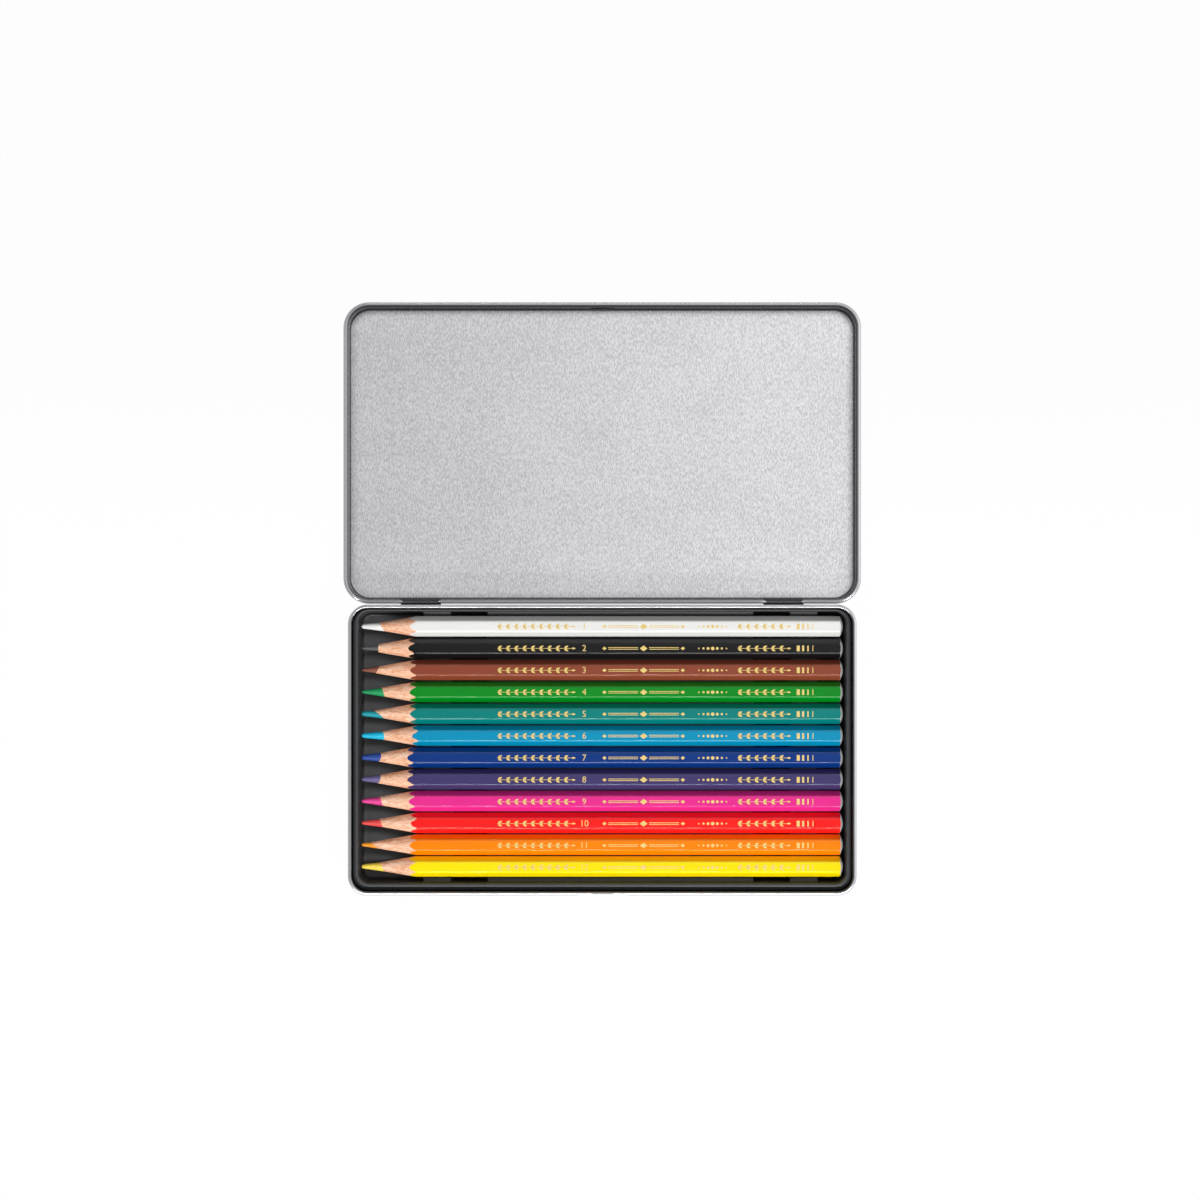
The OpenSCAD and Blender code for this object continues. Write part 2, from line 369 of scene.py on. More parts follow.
    def face_up(self) -> None:
        """Turns an open sheet so that its largest face looks up."""
        self.outward()
        if max(self.bm.faces, key=lambda f: f.calc_area()).normal.z < 0:
            bmesh.ops.reverse_faces(self.bm, faces=self.bm.faces)

    def finish(self, tag: Tag, paints: Sequence[Paint], crease: float = 35) -> Piece:
        """Makes the shape an object in metres that rides on its body.

        Args:
            tag: Its name, body, slot and the nodes it stands for.
            paints: Its materials, in the order of its faces' numbers.
            crease: The angle in degrees past which an edge is drawn sharp.

        Returns:
            The object.
        """
        for face in self.bm.faces:
            face.smooth = True
        for edge in self.bm.edges:
            edge.smooth = edge.calc_face_angle(0) < math.radians(crease)
        bmesh.ops.scale(self.bm, vec=Vector((MM, MM, MM)), verts=self.bm.verts)
        piece = self.link(tag.name, paints)
        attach(piece, tag.body)
        if tag.replaces:
            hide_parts(*tag.replaces)
        LOG.info("%s on %s: %d faces", tag.name, tag.body, len(piece.data.polygons))
        return piece

    def link(self, name: str, paints: Sequence[Paint]) -> Piece:
        """Makes the shape an object of the scene as it is, and lets go of it.

        Args:
            name: Its name.
            paints: Its materials.

        Returns:
            The object.
        """
        mesh = bpy.data.meshes.new(name)
        self.bm.to_mesh(mesh)
        self.bm.free()
        for paint in paints:
            mesh.materials.append(paint)
        made = bpy.data.objects.new(name, mesh)
        bpy.context.scene.collection.objects.link(made)
        return made


def modify(piece: Piece, name: str, kind: str, settings: dict[str, object]) -> None:
    """Adds a modifier to a piece.

    Args:
        piece: The piece.
        name: The modifier's name.
        kind: Its type.
        settings: Its own settings.
    """
    made = piece.modifiers.new(name, kind)
    for key, value in settings.items():
        setattr(made, key, value)


def thicken(piece: Piece, thickness: float, offset: float, turned: int = 0) -> None:
    """Gives a sheet its thickness.

    Args:
        piece: The sheet.
        thickness: In millimetres.
        offset: 0 for half on each side, -1 for all behind its faces.
        turned: How far on in the list of materials its other side's finish is.
    """
    modify(piece, "wall", "SOLIDIFY", {
        "thickness": thickness * MM, "offset": offset, "material_offset": turned,
        "use_even_offset": True, "use_quality_normals": True})


def even_out(piece: Piece) -> None:
    """Lets the large flat faces of a piece keep their own normals."""
    modify(piece, "normals", "WEIGHTED_NORMAL", {"mode": "FACE_AREA", "keep_sharp": True})


class Signal:
    """A shader socket that takes part in arithmetic."""

    def __init__(self, graph: "Graph", socket: bpy.types.NodeSocket | None) -> None:
        """Keeps the socket and the graph it belongs to."""
        self.graph = graph
        self.socket = socket

    def math(self, kind: str, first: "Signal | float", second: "Signal | float" = 0.0) -> "Signal":
        """The result of a Math node of a kind on two values."""
        return self.graph.node("Math", {"operation": kind}, {0: first, 1: second})

    def __add__(self, other: "Signal | float") -> "Signal":
        """This plus another."""
        return self.math("ADD", self, other)

    __radd__ = __add__

    def __sub__(self, other: "Signal | float") -> "Signal":
        """This less another."""
        return self.math("SUBTRACT", self, other)

    def __rsub__(self, other: float) -> "Signal":
        """Another less this."""
        return self.math("SUBTRACT", other, self)

    def __mul__(self, other: "Signal | float") -> "Signal":
        """This times another."""
        return self.math("MULTIPLY", self, other)

    __rmul__ = __mul__

    def absolute(self) -> "Signal":
        """This without its sign."""
        return self.math("ABSOLUTE", self)

    def larger(self, other: "Signal | float") -> "Signal":
        """The larger of this and another."""
        return self.math("MAXIMUM", self, other)

    def swing(self, amount: float) -> "Signal":
        """How far this is from one half, times an amount."""
        return (self - 0.5) * amount

    def between(self, low: float, high: float) -> "Signal":
        """Rises smoothly from 0 to 1 as this goes from low to high."""
        return self.graph.node("MapRange", {"interpolation_type": "SMOOTHSTEP"},
                               {"Value": self, "From Min": low, "From Max": high})


class Graph:
    """The nodes of one material or world."""

    def __init__(self, tree: bpy.types.NodeTree) -> None:
        """Takes an empty node tree."""
        self.tree = tree

    def node(self, kind: str, settings: dict[str, object] | None = None,
             inputs: dict[str | int, object] | None = None, output: str | int = 0) -> Signal:
        """Adds a node.

        Args:
            kind: The node's type, without the words ShaderNode.
            settings: Its own settings, or the stops of its ramp, which are set first.
            inputs: Values or links for its sockets, by name or number.
            output: The socket to return.

        Returns:
            That output, or one without a socket from a node that has none.
        """
        made = self.tree.nodes.new(f"ShaderNode{kind}")
        for key, value in (settings or {}).items():
            if key == "stops":
                self._set_stops(made.color_ramp.elements, value)
            else:
                setattr(made, key, value)
        for key, value in (inputs or {}).items():
            if isinstance(value, Signal):
                self.tree.links.new(value.socket, made.inputs[key])
            else:
                made.inputs[key].default_value = value
        return Signal(self, made.outputs[output] if made.outputs else None)

    @staticmethod
    def _set_stops(elements: bpy.types.ColorRampElements,
                   stops: Sequence[tuple[float, Colour]]) -> None:
        """Gives a ramp its stops.

        Args:
            elements: The ramp's own two stops.
            stops: Two or more places with their colours.
        """
        for _ in stops[2:]:
            elements.new(0.5)
        for element, (place, colour) in zip(elements, stops):
            element.position = place
            element.color = colour

    def noise(self, size: Place, detail: float = 2, shift: float = 0) -> Signal:
        """A cloudy value from 0 to 1, on the surface's own place in the frame.

        Args:
            size: How large its features are along X, Y and Z, in millimetres.
            detail: How many finer layers it has.
            shift: Moves it, so that two of them differ.

        Returns:
            The value.
        """
        spot = self.node("Mapping", None, {
            "Vector": self.node("TexCoord", output="Object"),
            "Location": (shift, shift, shift), "Scale": [1 / (s * MM) for s in size]})
        return self.node("TexNoise", None, {"Vector": spot, "Scale": 1.0, "Detail": detail}, "Fac")

    def ramp(self, value: Signal, stops: Sequence[tuple[float, str]]) -> Signal:
        """Turns a value from 0 to 1 into colours along a ramp."""
        painted = [(place, tone(code)) for place, code in stops]
        return self.node("ValToRGB", {"stops": painted}, {"Fac": value}, "Color")

    def mix(self, share: Signal, first: Signal | Colour, second: Signal | Colour) -> Signal:
        """Mixes two colours, with a share of the second."""
        return self.node("Mix", {"data_type": "RGBA"}, {0: share, 6: first, 7: second}, 2)

    def bump(self, height: Signal, depth: float) -> Signal:
        """A normal from a height from 0 to 1, which is that many millimetres deep."""
        return self.node("Bump", None, {"Strength": 1.0, "Distance": depth * MM, "Height": height})

    def attribute(self, name: str) -> Signal:
        """A value that the mesh holds at each vertex."""
        return self.node("Attribute", {"attribute_name": name}, None, "Fac")

    def seeing(self) -> Signal:
        """Tells what is seen from the light that falls on the object.

        Returns:
            1 for camera, mirror and glass rays, and 0 for the others.
        """
        camera, mirror, glass = (self.node("LightPath", output=f"Is {kind} Ray")
                                 for kind in ("Camera", "Glossy", "Transmission"))
        return camera.larger(mirror).larger(glass)

    def surface(self, inputs: dict[str | int, object]) -> None:
        """Ends the graph in a Principled shader with these inputs."""
        self.output(self.node("BsdfPrincipled", None, inputs))

    def output(self, shader: Signal, kind: str = "OutputMaterial") -> None:
        """Ends the graph in a shader."""
        self.node(kind, None, {"Surface": shader})


@dataclass(frozen=True)
class Finish:
    """A surface of the object."""

    name: str

    def paint(self, graph: Graph) -> None:
        """Draws the finish as nodes."""
        raise NotImplementedError

    def material(self) -> Paint:
        """Makes the material of this finish.

        Returns:
            The material.
        """
        made = bpy.data.materials.new(self.name)
        made.use_nodes = True
        made.node_tree.nodes.clear()
        self.paint(Graph(made.node_tree))
        return made


@dataclass(frozen=True)
class Tinplate(Finish):
    """Brushed tinned steel with its grain along Y."""

    light: str = "#fefeff"
    dark: str = "#d2d2d7"
    # The colour of the painted shade on walls, fillets and roll flanks.
    drawn: str = "#5a5a5e"
    roughness: float = 0.26
    grain: float = 1.0
    dash_contrast: float = 2.3
    hair_contrast: float = 1.1
    cloud_contrast: float = 0.35
    hair_gloss: float = 0.16
    cloud_gloss: float = 0.02
    relief: float = 0.0016

    def paint(self, graph: Graph) -> None:
        """Draws short brushed dashes in colour, gloss and height, darkened by painted shade on the
        walls, fillets and roll flanks.

        Args:
            graph: The empty graph.
        """
        dash = graph.noise((0.3, 1.15, 1.15), 1)
        hair = graph.noise((0.09, 0.6, 0.6), 2, 3.0)
        cloud = graph.noise((34, 26, 26), 1, 7.0)
        marks = (dash.swing(self.dash_contrast) * self.grain
                 + hair.swing(self.hair_contrast) * self.grain)
        light = (marks + cloud.swing(self.cloud_contrast) + 0.5).between(0, 1)
        brushed = graph.mix(light, tone(self.dark), tone(self.light))
        # The base colour mixes in painted shade by the mesh's share of it.
        graph.surface({
            "Base Color": graph.mix(graph.attribute(PAINTED_SHADE), brushed, tone(self.drawn)),
            "Metallic": 1.0,
            "Roughness": (self.roughness + hair.swing(self.hair_gloss) * self.grain
                          + cloud.swing(self.cloud_gloss)),
            "Normal": graph.bump(hair + dash * 0.5, self.relief * self.grain),
        })


@dataclass(frozen=True)
class FormedPlastic(Finish):
    """Black thermoformed sheet with a fine satin texture."""

    colour: str = "#343537"
    scuffed: str = "#4a4b4d"
    relief: float = 0.006

    def paint(self, graph: Graph) -> None:
        """Draws the satin skin, with paler rubbed patches.

        Args:
            graph: The empty graph.
        """
        skin = graph.noise((0.16, 0.16, 0.16), 2)
        flow = graph.noise((22, 15, 15), 2, 4.0)
        rub = graph.noise((5, 0.5, 2), 3, 9.0).between(0.6, 0.85)
        graph.surface({
            "Base Color": graph.mix(rub * 0.35 + flow * 0.25, tone(self.colour),
                                    tone(self.scuffed)),
            "Roughness": 0.42 + skin.swing(0.2) + flow.swing(0.12) - rub * 0.06,
            "Specular IOR Level": 0.5,
            "Normal": graph.bump(skin, self.relief),
        })


@dataclass(frozen=True)
class Lacquer(Finish):
    """Several dipped coats of gloss lacquer over the wood."""

    colour: str = "#808080"
    deep_gain: float = 0.86
    thin_highlight_gain: float = 1.12
    thin_highlight_lift: float = 0.006
    relief: float = 0.0035

    def paint(self, graph: Graph) -> None:
        """Draws drift in the colour, orange peel, dust, and lighter corners that are partly thinner
        paint and partly a painted highlight.

        Args:
            graph: The empty graph.
        """
        base = tone(self.colour)
        drift = graph.noise((16, 1.3, 1.3), 2)
        peel = graph.noise((1.4, 0.7, 0.7), 2, 5.0)
        dust = graph.noise((0.5, 0.12, 0.12), 3, 2.0).between(0.66, 0.8)
        corner = graph.attribute(CORNER)
        coats = graph.mix(drift, tinted(base, self.deep_gain), base)
        # Lighter corners are partly thinner paint and partly a painted highlight; dust lightens
        # too.
        worn = (corner * 0.6 + dust * 0.15).between(0, 1)
        graph.surface({
            "Base Color": graph.mix(worn, coats, tinted(base, self.thin_highlight_gain, self.thin_highlight_lift)),
            "Roughness": 0.3 + dust * 0.2 + drift.swing(0.1),
            "Specular IOR Level": 0.03,
            "Coat Weight": 0.42 - dust * 0.18 + corner * 0.5,
            "Coat Roughness": 0.07,
            "Normal": graph.bump(peel, self.relief),
        })


@dataclass(frozen=True)
class Cedar(Finish):
    """Sharpened pencil wood, with its grain along X."""

    bands: tuple[tuple[float, str], ...] = (
        (0.31, "#c4805a"), (0.42, "#e6a680"), (0.53, "#f4c4a4"), (0.68, "#fbdcc8"))
    pores: str = "#a25a40"
    relief: float = 0.03

    def paint(self, graph: Graph) -> None:
        """Draws growth bands, streaks and pores cut across by the sharpener.

        Args:
            graph: The empty graph.
        """
        band = graph.noise((60, 1.5, 1.1), 2)
        streak = graph.noise((4.5, 0.36, 0.36), 3, 3.0)
        pore = graph.noise((1.7, 0.14, 0.14), 2, 6.0).between(0.56, 0.72)
        fuzz = graph.noise((0.25, 0.25, 0.25), 2, 8.0)
        wood = graph.ramp(band * 0.35 + streak * 0.65 + fuzz.swing(0.12), self.bands)
        graph.surface({
            "Base Color": graph.mix(pore * 0.65, wood, tone(self.pores)),
            "Roughness": 0.62 + streak.swing(0.2),
            "Specular IOR Level": 0.3,
            "Normal": graph.bump(streak + fuzz * 0.5 - pore * 0.6, self.relief),
        })


@dataclass(frozen=True)
class Pigment(Finish):
    """Sharpened coloured core, waxy, with the sharpener's streaks."""

    colour: str = "#808080"
    deep_gain: float = 0.72
    pale_gain: float = 1.1
    pale_lift: float = 0.02
    relief: float = 0.035

    def paint(self, graph: Graph) -> None:
        """Draws cut streaks, crumbs and waxy gloss.

        Args:
            graph: The empty graph.
        """
        base = tone(self.colour)
        streak = graph.noise((2.4, 0.2, 0.2), 2)
        crumb = graph.noise((0.22, 0.16, 0.16), 2, 4.0)
        cut = graph.mix(streak.between(0.3, 0.62), tinted(base, self.deep_gain), base)
        pale = tinted(base, self.pale_gain, self.pale_lift)
        graph.surface({
            "Base Color": graph.mix(crumb.between(0.55, 0.8), cut, pale),
            "Roughness": 0.5 + streak.swing(0.3),
            "Specular IOR Level": 0.45,
            "Normal": graph.bump(streak * 0.6 + crumb * 0.6, self.relief),
        })


@dataclass(frozen=True)
class DippedEnd(Finish):
    """Pale paint that closes the domed end."""

    colour: str = "#dadad8"
    thin: str = "#c9c9c7"
    relief: float = 0.01

    def paint(self, graph: Graph) -> None:
        """Draws thin paint with faint runs.

        Args:
            graph: The empty graph.
        """
        run = graph.noise((0.6, 1.2, 1.2), 2)
        graph.surface({
            "Base Color": graph.mix(run, tone(self.thin), tone(self.colour)),
            "Roughness": 0.32 + run.swing(0.15),
            "Coat Weight": 0.4,
            "Coat Roughness": 0.12,
            "Normal": graph.bump(run, self.relief),
        })


@dataclass(frozen=True)
class Foil(Finish):
    """Hot stamped gold foil."""

    dull: str = "#e6c267"
    bright: str = "#fbe69c"
    relief: float = 0.002

    def paint(self, graph: Graph) -> None:
        """Draws bright foil with duller, thinner spots.

        Args:
            graph: The empty graph.
        """
        spot = graph.noise((0.5, 0.35, 0.35), 2)
        graph.surface({
            "Base Color": graph.mix(spot.between(0.35, 0.7), tone(self.dull), tone(self.bright)),
            "Metallic": 0.4,
            "Roughness": 0.34 + spot.swing(0.25),
            "Normal": graph.bump(spot, self.relief),
        })


@dataclass(frozen=True)
class Tabletop(Finish):
    """White table. What sees it straight gets it nearly even, with the object's shadow."""

    evenness: float = 0.97

    def paint(self, graph: Graph) -> None:
        """Draws white paper that is partly lit by itself for camera, mirror and glass rays.

        Args:
            graph: The empty graph.
        """
        fibre = graph.noise((3, 3, 3), 3)
        colour = graph.mix(fibre, tone("#f4f4f4"), tone("#fafafa"))
        paper = graph.node("BsdfPrincipled", None, {"Base Color": colour, "Roughness": 0.9})
        glow = graph.node("Emission", None, {"Color": WHITE, "Strength": 1.0})
        seen = graph.seeing() * self.evenness
        graph.output(graph.node("MixShader", None, {0: seen, 1: paper, 2: glow}))


@dataclass(frozen=True)
class BlackCard(Finish):
    """Dull black card."""

    def paint(self, graph: Graph) -> None:
        """Draws its faint fibres."""
        colour = graph.mix(graph.noise((4, 4, 4), 2), tone("#050505"), tone("#0b0b0b"))
        graph.surface({"Base Color": colour, "Roughness": 1.0})


@dataclass(frozen=True)
class Room:
    """The room round the table, a soft strip along X that is brighter to +X and +Y.

    It lights the object and shows in its metal. Its low band, which is all that the
    camera sees of it, is plain white for camera, mirror and glass rays.
    """

    sky: float = 0.88
    peak: float = 2.0

    def hang(self) -> None:
        """Makes the room the scene's world."""
        world = bpy.data.worlds.new("room")
        bpy.context.scene.world = world
        world.use_nodes = True
        world.node_tree.nodes.clear()
        graph = Graph(world.node_tree)
        way = graph.node("TexCoord", output="Generated")
        east, north, up = (graph.node("VectorMath", {"operation": "DOT_PRODUCT"},
                                      {0: way, 1: axis}, "Value") for axis in Matrix.Identity(3))
        across = 1 - north.absolute().between(0.2, 0.5) * 0.6
        front = north.between(-0.115, 0.03) * 0.5 + 0.5
        right = east.between(-0.3, 0.2) * 0.75 + 0.53
        above = up.between(0.05, 0.4) * 0.6 + 0.4
        light = graph.mix(right * (across * front) * above * (self.sky / self.peak), BLACK, WHITE)
        soft = graph.node("Background", None, {"Color": light, "Strength": self.peak})
        plain = graph.node("Background", None, {"Color": WHITE, "Strength": 1.0})
        seen = graph.seeing() * (1 - up.between(0.24, 0.4))
        graph.output(graph.node("MixShader", None, {0: seen, 1: soft, 2: plain}), "OutputWorld")


@dataclass(frozen=True)
class Dish:
    """A dish pressed from sheet metal: floor, foot radius, wall and a rim rolled outwards."""

    inner_w: float
    inner_d: float
    centre_y: float
    corner_r: float
    foot_r: float
    roll_d: float
    roll_z: float
    sheet: float
    wall_lines: tuple[float, ...]
    corner_steps: int = 20
    foot_steps: int = 8
    roll_steps: int = 26
    floor_band: float = 2.4
    lip_gap: float = 0.2
    cut_edge: float = 0.06
    cut_angle: float = 40

    def profile(self) -> list[Point]:
        """The middle of the sheet, from the floor's edge to the roll's free edge.

        Returns:
            Points as distance out from a corner's axis, and height.
        """
        roll_r = (self.roll_d - self.sheet) / 2
        lip = math.degrees(math.acos((self.sheet + self.lip_gap - self.roll_d / 2) / roll_r))
        floor_u = self.corner_r + self.sheet - self.foot_r
        return [
            (floor_u - self.floor_band, self.sheet / 2),
            *arc((floor_u, self.foot_r), self.foot_r - self.sheet / 2, -90, 0, self.foot_steps),
            *[(self.corner_r + self.sheet / 2, z) for z in sorted(self.wall_lines)],
            *arc((self.corner_r + self.roll_d / 2, self.roll_z), roll_r, 180, -lip,
                 self.roll_steps),
        ]

    def drawn_share(self, off: float, z: float) -> float:
        """How much painted shade a place on the sheet gets, standing in for the shade and dark
        reflections of walls and rim.

        Args:
            off: How far outside the inner wall the place is.
            z: Its height.

        Returns:
            From 0 on the floor to 1 on the wall, and small on the crown of the roll.
        """
        # Painted shade: darker on the floor near the foot, on the wall, on the roll's inner half
        # and on its outer flank.
        if z < self.foot_r:
            rise, delay = 1.6, 0.3
            return clamp((off + self.foot_r) / self.foot_r * rise - delay)
        crown, flank, most = 0.55 * self.roll_d, 0.65, 0.9
        inner = (crown - off) / (crown - self.sheet)
        outer = most * (off / self.roll_d - flank) / (1 - flank)
        return clamp(max(inner, outer))

    def draw(self) -> Shape:
        """Sweeps the profile round and closes the floor, with the roll as material 1.

        Returns:
            The dish, with how strongly it was drawn at each vertex.
        """
        shape = Shape()
        half = (self.inner_w / 2 - self.corner_r, self.inner_d / 2 - self.corner_r)
        layer = shape.bm.verts.layers.float.new(PAINTED_SHADE)
        shape.run_round(self.profile(), half, self.centre_y, self.corner_steps)
        shape.close(lambda p: abs(p.z - self.sheet / 2) < WELD)
        shape.face_up()
        for vert in shape.bm.verts:
            out_x = max(0.0, abs(vert.co.x) - half[0])
            out_y = max(0.0, abs(vert.co.y - self.centre_y) - half[1])
            vert[layer] = self.drawn_share(math.hypot(out_x, out_y) - self.corner_r, vert.co.z)
        for face in shape.bm.faces:
            centre = face.calc_center_median()
            off_x = abs(centre.x) - self.inner_w / 2
            off_y = abs(centre.y - self.centre_y) - self.inner_d / 2
            rolled = max(off_x, off_y) > self.sheet or centre.z > self.roll_z - self.roll_d / 2
            face.material_index = int(rolled)
        return shape

    def open_windows(self, shape: Shape, side: int, heights: Point,
                     spans: Sequence[Point]) -> None:
        """Opens windows in the wall towards the hinge.

        Args:
            shape: The dish as made by its draw method.
            side: 1 for the wall at +Y, -1 for the wall at -Y.
            heights: Where the windows begin and end in height.
            spans: Where each begins and ends along X.
        """
        wall_y = self.centre_y + side * self.inner_d / 2

        def on_wall(p: Vector) -> bool:
            """Says whether a place is on the wall at the windows' height."""
            return abs(p.y - wall_y) < self.sheet and heights[0] < p.z < heights[1]

        shape.slice(on_wall, [x for span in spans for x in span])
        shape.drop(lambda p: on_wall(p) and any(low < p.x < high for low, high in spans))

    def finish(self, shape: Shape, tag: Tag, paints: Sequence[Paint]) -> Piece:
        """Makes the sheet a piece with its thickness and with softened cut edges.

        Args:
            shape: The sheet.
            tag: What the piece is.
            paints: The finishes of one side, and then the same for the other.

        Returns:
            The piece.
        """
        piece = shape.finish(tag, paints)
        thicken(piece, self.sheet, 0, len(paints) // 2)
        modify(piece, "edges", "BEVEL", {
            "width": self.cut_edge * MM, "segments": 2, "limit_method": "ANGLE",
            "angle_limit": math.radians(self.cut_angle)})
        even_out(piece)
        return piece


@dataclass(frozen=True)
class Hinge:
    """Two leaves of the base, curled round the lid's rolled rim, and the lid's windows."""

    axis_y: float
    axis_z: float
    leaf_x: float = 66
    leaf_w: float = 14.6
    leaf_tip_w: float = 12.8
    leaf_curl: float = 110
    leaf_gap: float = 0.08
    leaf_steps: int = 20
    window_gap: float = 0.8
    window_h: float = 3.5

    def spans(self, extra: float = 0) -> list[Point]:
        """Where the leaves, or wider windows, begin and end along X."""
        half = self.leaf_w / 2 + extra
        return [(x - half, x + half) for x in (-self.leaf_x, self.leaf_x)]


@dataclass
class BaseTin:
    """The base: a dish with a thumb notch in its front rim and two hinge leaves."""

    hinge: Hinge
    sheet: float = 0.3
    roll_d: float = 1.45
    foot_r: float = 1.5
    rim_corner_r: float = 7.1
    notch_w: float = 20
    notch_depth: float = 0.5
    notch_steps: int = 12
    lid_roll_d: float = 1.8
    rim_front: float = field(init=False)
    dish: Dish = field(init=False)

    def __post_init__(self) -> None:
        """Reads the overall sizes from the frame."""
        box = Box.of("base_shell")
        self.rim_front = -box.low.y
        self.dish = Dish(
            inner_w=box.size.x - 2 * self.roll_d,
            inner_d=2 * self.rim_front - 2 * self.roll_d,
            centre_y=0,
            corner_r=self.rim_corner_r - self.roll_d,
            foot_r=self.foot_r,
            roll_d=self.roll_d,
            roll_z=box.high.z - self.roll_d / 2,
            sheet=self.sheet,
            wall_lines=(self.leaf_z, box.high.z - self.roll_d - self.sheet),
        )

    @property
    def leaf_r(self) -> float:
        """Radius of the middle of a leaf's curl."""
        return self.lid_roll_d / 2 + self.hinge.leaf_gap + self.sheet / 2

    @property
    def leaf_z(self) -> float:
        """Height of the middle of a leaf where it leaves the wall."""
        return self.hinge.axis_z - self.leaf_r

    def build(self, paints: Sequence[Paint]) -> Piece:
        """Makes the base.

        Args:
            paints: Those of its floor, roll and leaves, and then the same for the other side.

        Returns:
            The piece.
        """
        shape = self.dish.draw()
        self.dish.open_windows(shape, 1, self.dish.wall_lines, self.hinge.spans())
        self._press_notch(shape)
        for low, high in self.hinge.spans():
            self._curl_leaf(shape, low, high)
        return self.dish.finish(shape, Tag("base_tin", "base", "tinplate", ("base_shell",)), paints)

    def _curl_leaf(self, shape: Shape, low: float, high: float) -> None:
        """Bends a leaf out of the wall and curls it round the hinge's axis, as material 2.

        Args:
            shape: The base, with its windows open.
            low: Where the leaf begins along X.
            high: Where it ends.
        """
        hinge, wall_y = self.hinge, self.dish.inner_d / 2 + self.sheet / 2
        root = [v for v in shape.bm.verts
                if abs(v.co.z - self.leaf_z) < WELD and abs(v.co.y - wall_y) < WELD
                and low - WELD < v.co.x < high + WELD]
        root.sort(key=lambda v: v.co.x)
        verts = shape.shift(root, Vector((0, hinge.axis_y - wall_y, 0)))
        axis = Vector((0, hinge.axis_y, hinge.axis_z))
        turn = 90 + hinge.leaf_curl
        far_y = hinge.axis_y + self.leaf_r
        end_y = hinge.axis_y + self.leaf_r * math.cos(math.radians(hinge.leaf_curl))
        middle = (low + high) / 2
        known = set(shape.bm.faces)
        for _ in range(hinge.leaf_steps):
            verts = shape.revolve(verts, axis, "X", turn / hinge.leaf_steps, 1)
            y, z = verts[0].co.y, verts[0].co.z
            share = max(0.0, (far_y - y) / (far_y - end_y)) if z > hinge.axis_z else 0.0
            half = (hinge.leaf_w + (hinge.leaf_tip_w - hinge.leaf_w) * share) / 2
            verts[0].co.x, verts[-1].co.x = middle - half, middle + half
        # Material 2 gives the leaves a dark finish that is painted shade.
        for face in set(shape.bm.faces) - known:
            face.material_index = 2

    def _press_notch(self, shape: Shape) -> None:
        """Flattens the front roll along a wide arc.

        Args:
            shape: The base.
        """
        reach = self.notch_w / 2
        arc_r = (reach ** 2 + self.notch_depth ** 2) / (2 * self.notch_depth)
        centre_y = self.notch_depth - self.rim_front - arc_r
        front_y = -self.dish.inner_d / 2 - self.sheet
        steps = range(-self.notch_steps, self.notch_steps + 1)
        shape.slice(lambda p: p.y < front_y and p.z > self.dish.wall_lines[1],
                    [reach * k / self.notch_steps for k in steps])
        for vert in shape.bm.verts:
            if vert.co.y < front_y and abs(vert.co.x) < reach:
                face_y = centre_y + math.sqrt(arc_r ** 2 - vert.co.x ** 2) + self.sheet / 2
                vert.co.y = max(vert.co.y, face_y)


@dataclass
class LidTin:
    """The lid: a dish with a dimple in its front wall and two windows at the hinge."""

    hinge: Hinge
    sheet: float = 0.3
    roll_d: float = 1.8
    foot_r: float = 0.9
    rim_corner_r: float = 9.3
    corner_steps: int = 24
    dimple_w: float = 13
    dimple_h: float = 0.4
    dimple_r: float = 2
    dimple_z: float = 3.7
    dimple_steps: int = 10
    dish: Dish = field(init=False)

    def __post_init__(self) -> None:
        """Reads the overall sizes from the frame."""
        box = Box.of("lid_shell")
        rows = self.dimple_steps // 2
        lines = [self.dimple_z + self.dimple_half * k / rows for k in range(-rows, rows + 1)]
        self.dish = Dish(
            inner_w=box.size.x - 2 * self.roll_d,
            inner_d=box.size.y - 2 * self.roll_d,
            centre_y=box.centre.y,
            corner_r=self.rim_corner_r - self.roll_d,
            foot_r=self.foot_r,
            roll_d=self.roll_d,
            roll_z=self.hinge.axis_z,
            sheet=self.sheet,
            wall_lines=(*lines, self.window_z),
            corner_steps=self.corner_steps,
        )

    @property
    def dimple_half(self) -> float:
        """Half the dimple's height on the wall."""
        return math.sqrt(self.dimple_r ** 2 - (self.dimple_r - self.dimple_h) ** 2)

    @property
    def window_z(self) -> float:
        """Height at which the windows begin."""
        return self.hinge.axis_z - self.hinge.window_h

    def build(self, paints: Sequence[Paint]) -> Piece:
        """Makes the lid.

        Args:
            paints: Those of its floor and roll, and then the same for the other side.

        Returns:
            The piece.
        """
        shape = self.dish.draw()
        heights = (self.window_z, self.hinge.axis_z)
        self.dish.open_windows(shape, -1, heights, self.hinge.spans(self.hinge.window_gap))
        self._press_dimple(shape)
        return self.dish.finish(shape, Tag("lid_tin", "lid", "tinplate", ("lid_shell",)), paints)

    def _press_dimple(self, shape: Shape) -> None:
        """Presses a shallow dimple into the wall that faces the hinge.

        Args:
            shape: The lid.
        """
        wall_y = self.dish.centre_y + self.dish.inner_d / 2
        half_w, high_z = self.dimple_w / 2, self.dimple_z + self.dimple_half
        reach = (half_w ** 2 + self.dimple_h ** 2) / (2 * self.dimple_h)
        steps = range(-self.dimple_steps, self.dimple_steps + 1)

        def near(p: Vector) -> bool:
            """Says whether a place is on the band of the wall that is pressed."""
            return (abs(p.y - wall_y) < self.sheet
                    and abs(p.z - self.dimple_z) < self.dimple_half + WELD)

        shape.slice(near, [half_w * k / self.dimple_steps for k in steps])
        for vert in shape.bm.verts:
            rise = vert.co.z - self.dimple_z
            inside = abs(vert.co.x) < half_w and abs(rise) < self.dimple_r and vert.co.z < high_z
            if inside and near(vert.co):
                tool_r = reach - self.dimple_r + math.sqrt(self.dimple_r ** 2 - rise ** 2)
                depth = self.dimple_h - reach + math.sqrt(tool_r ** 2 - vert.co.x ** 2)
                vert.co.y -= max(0.0, depth)


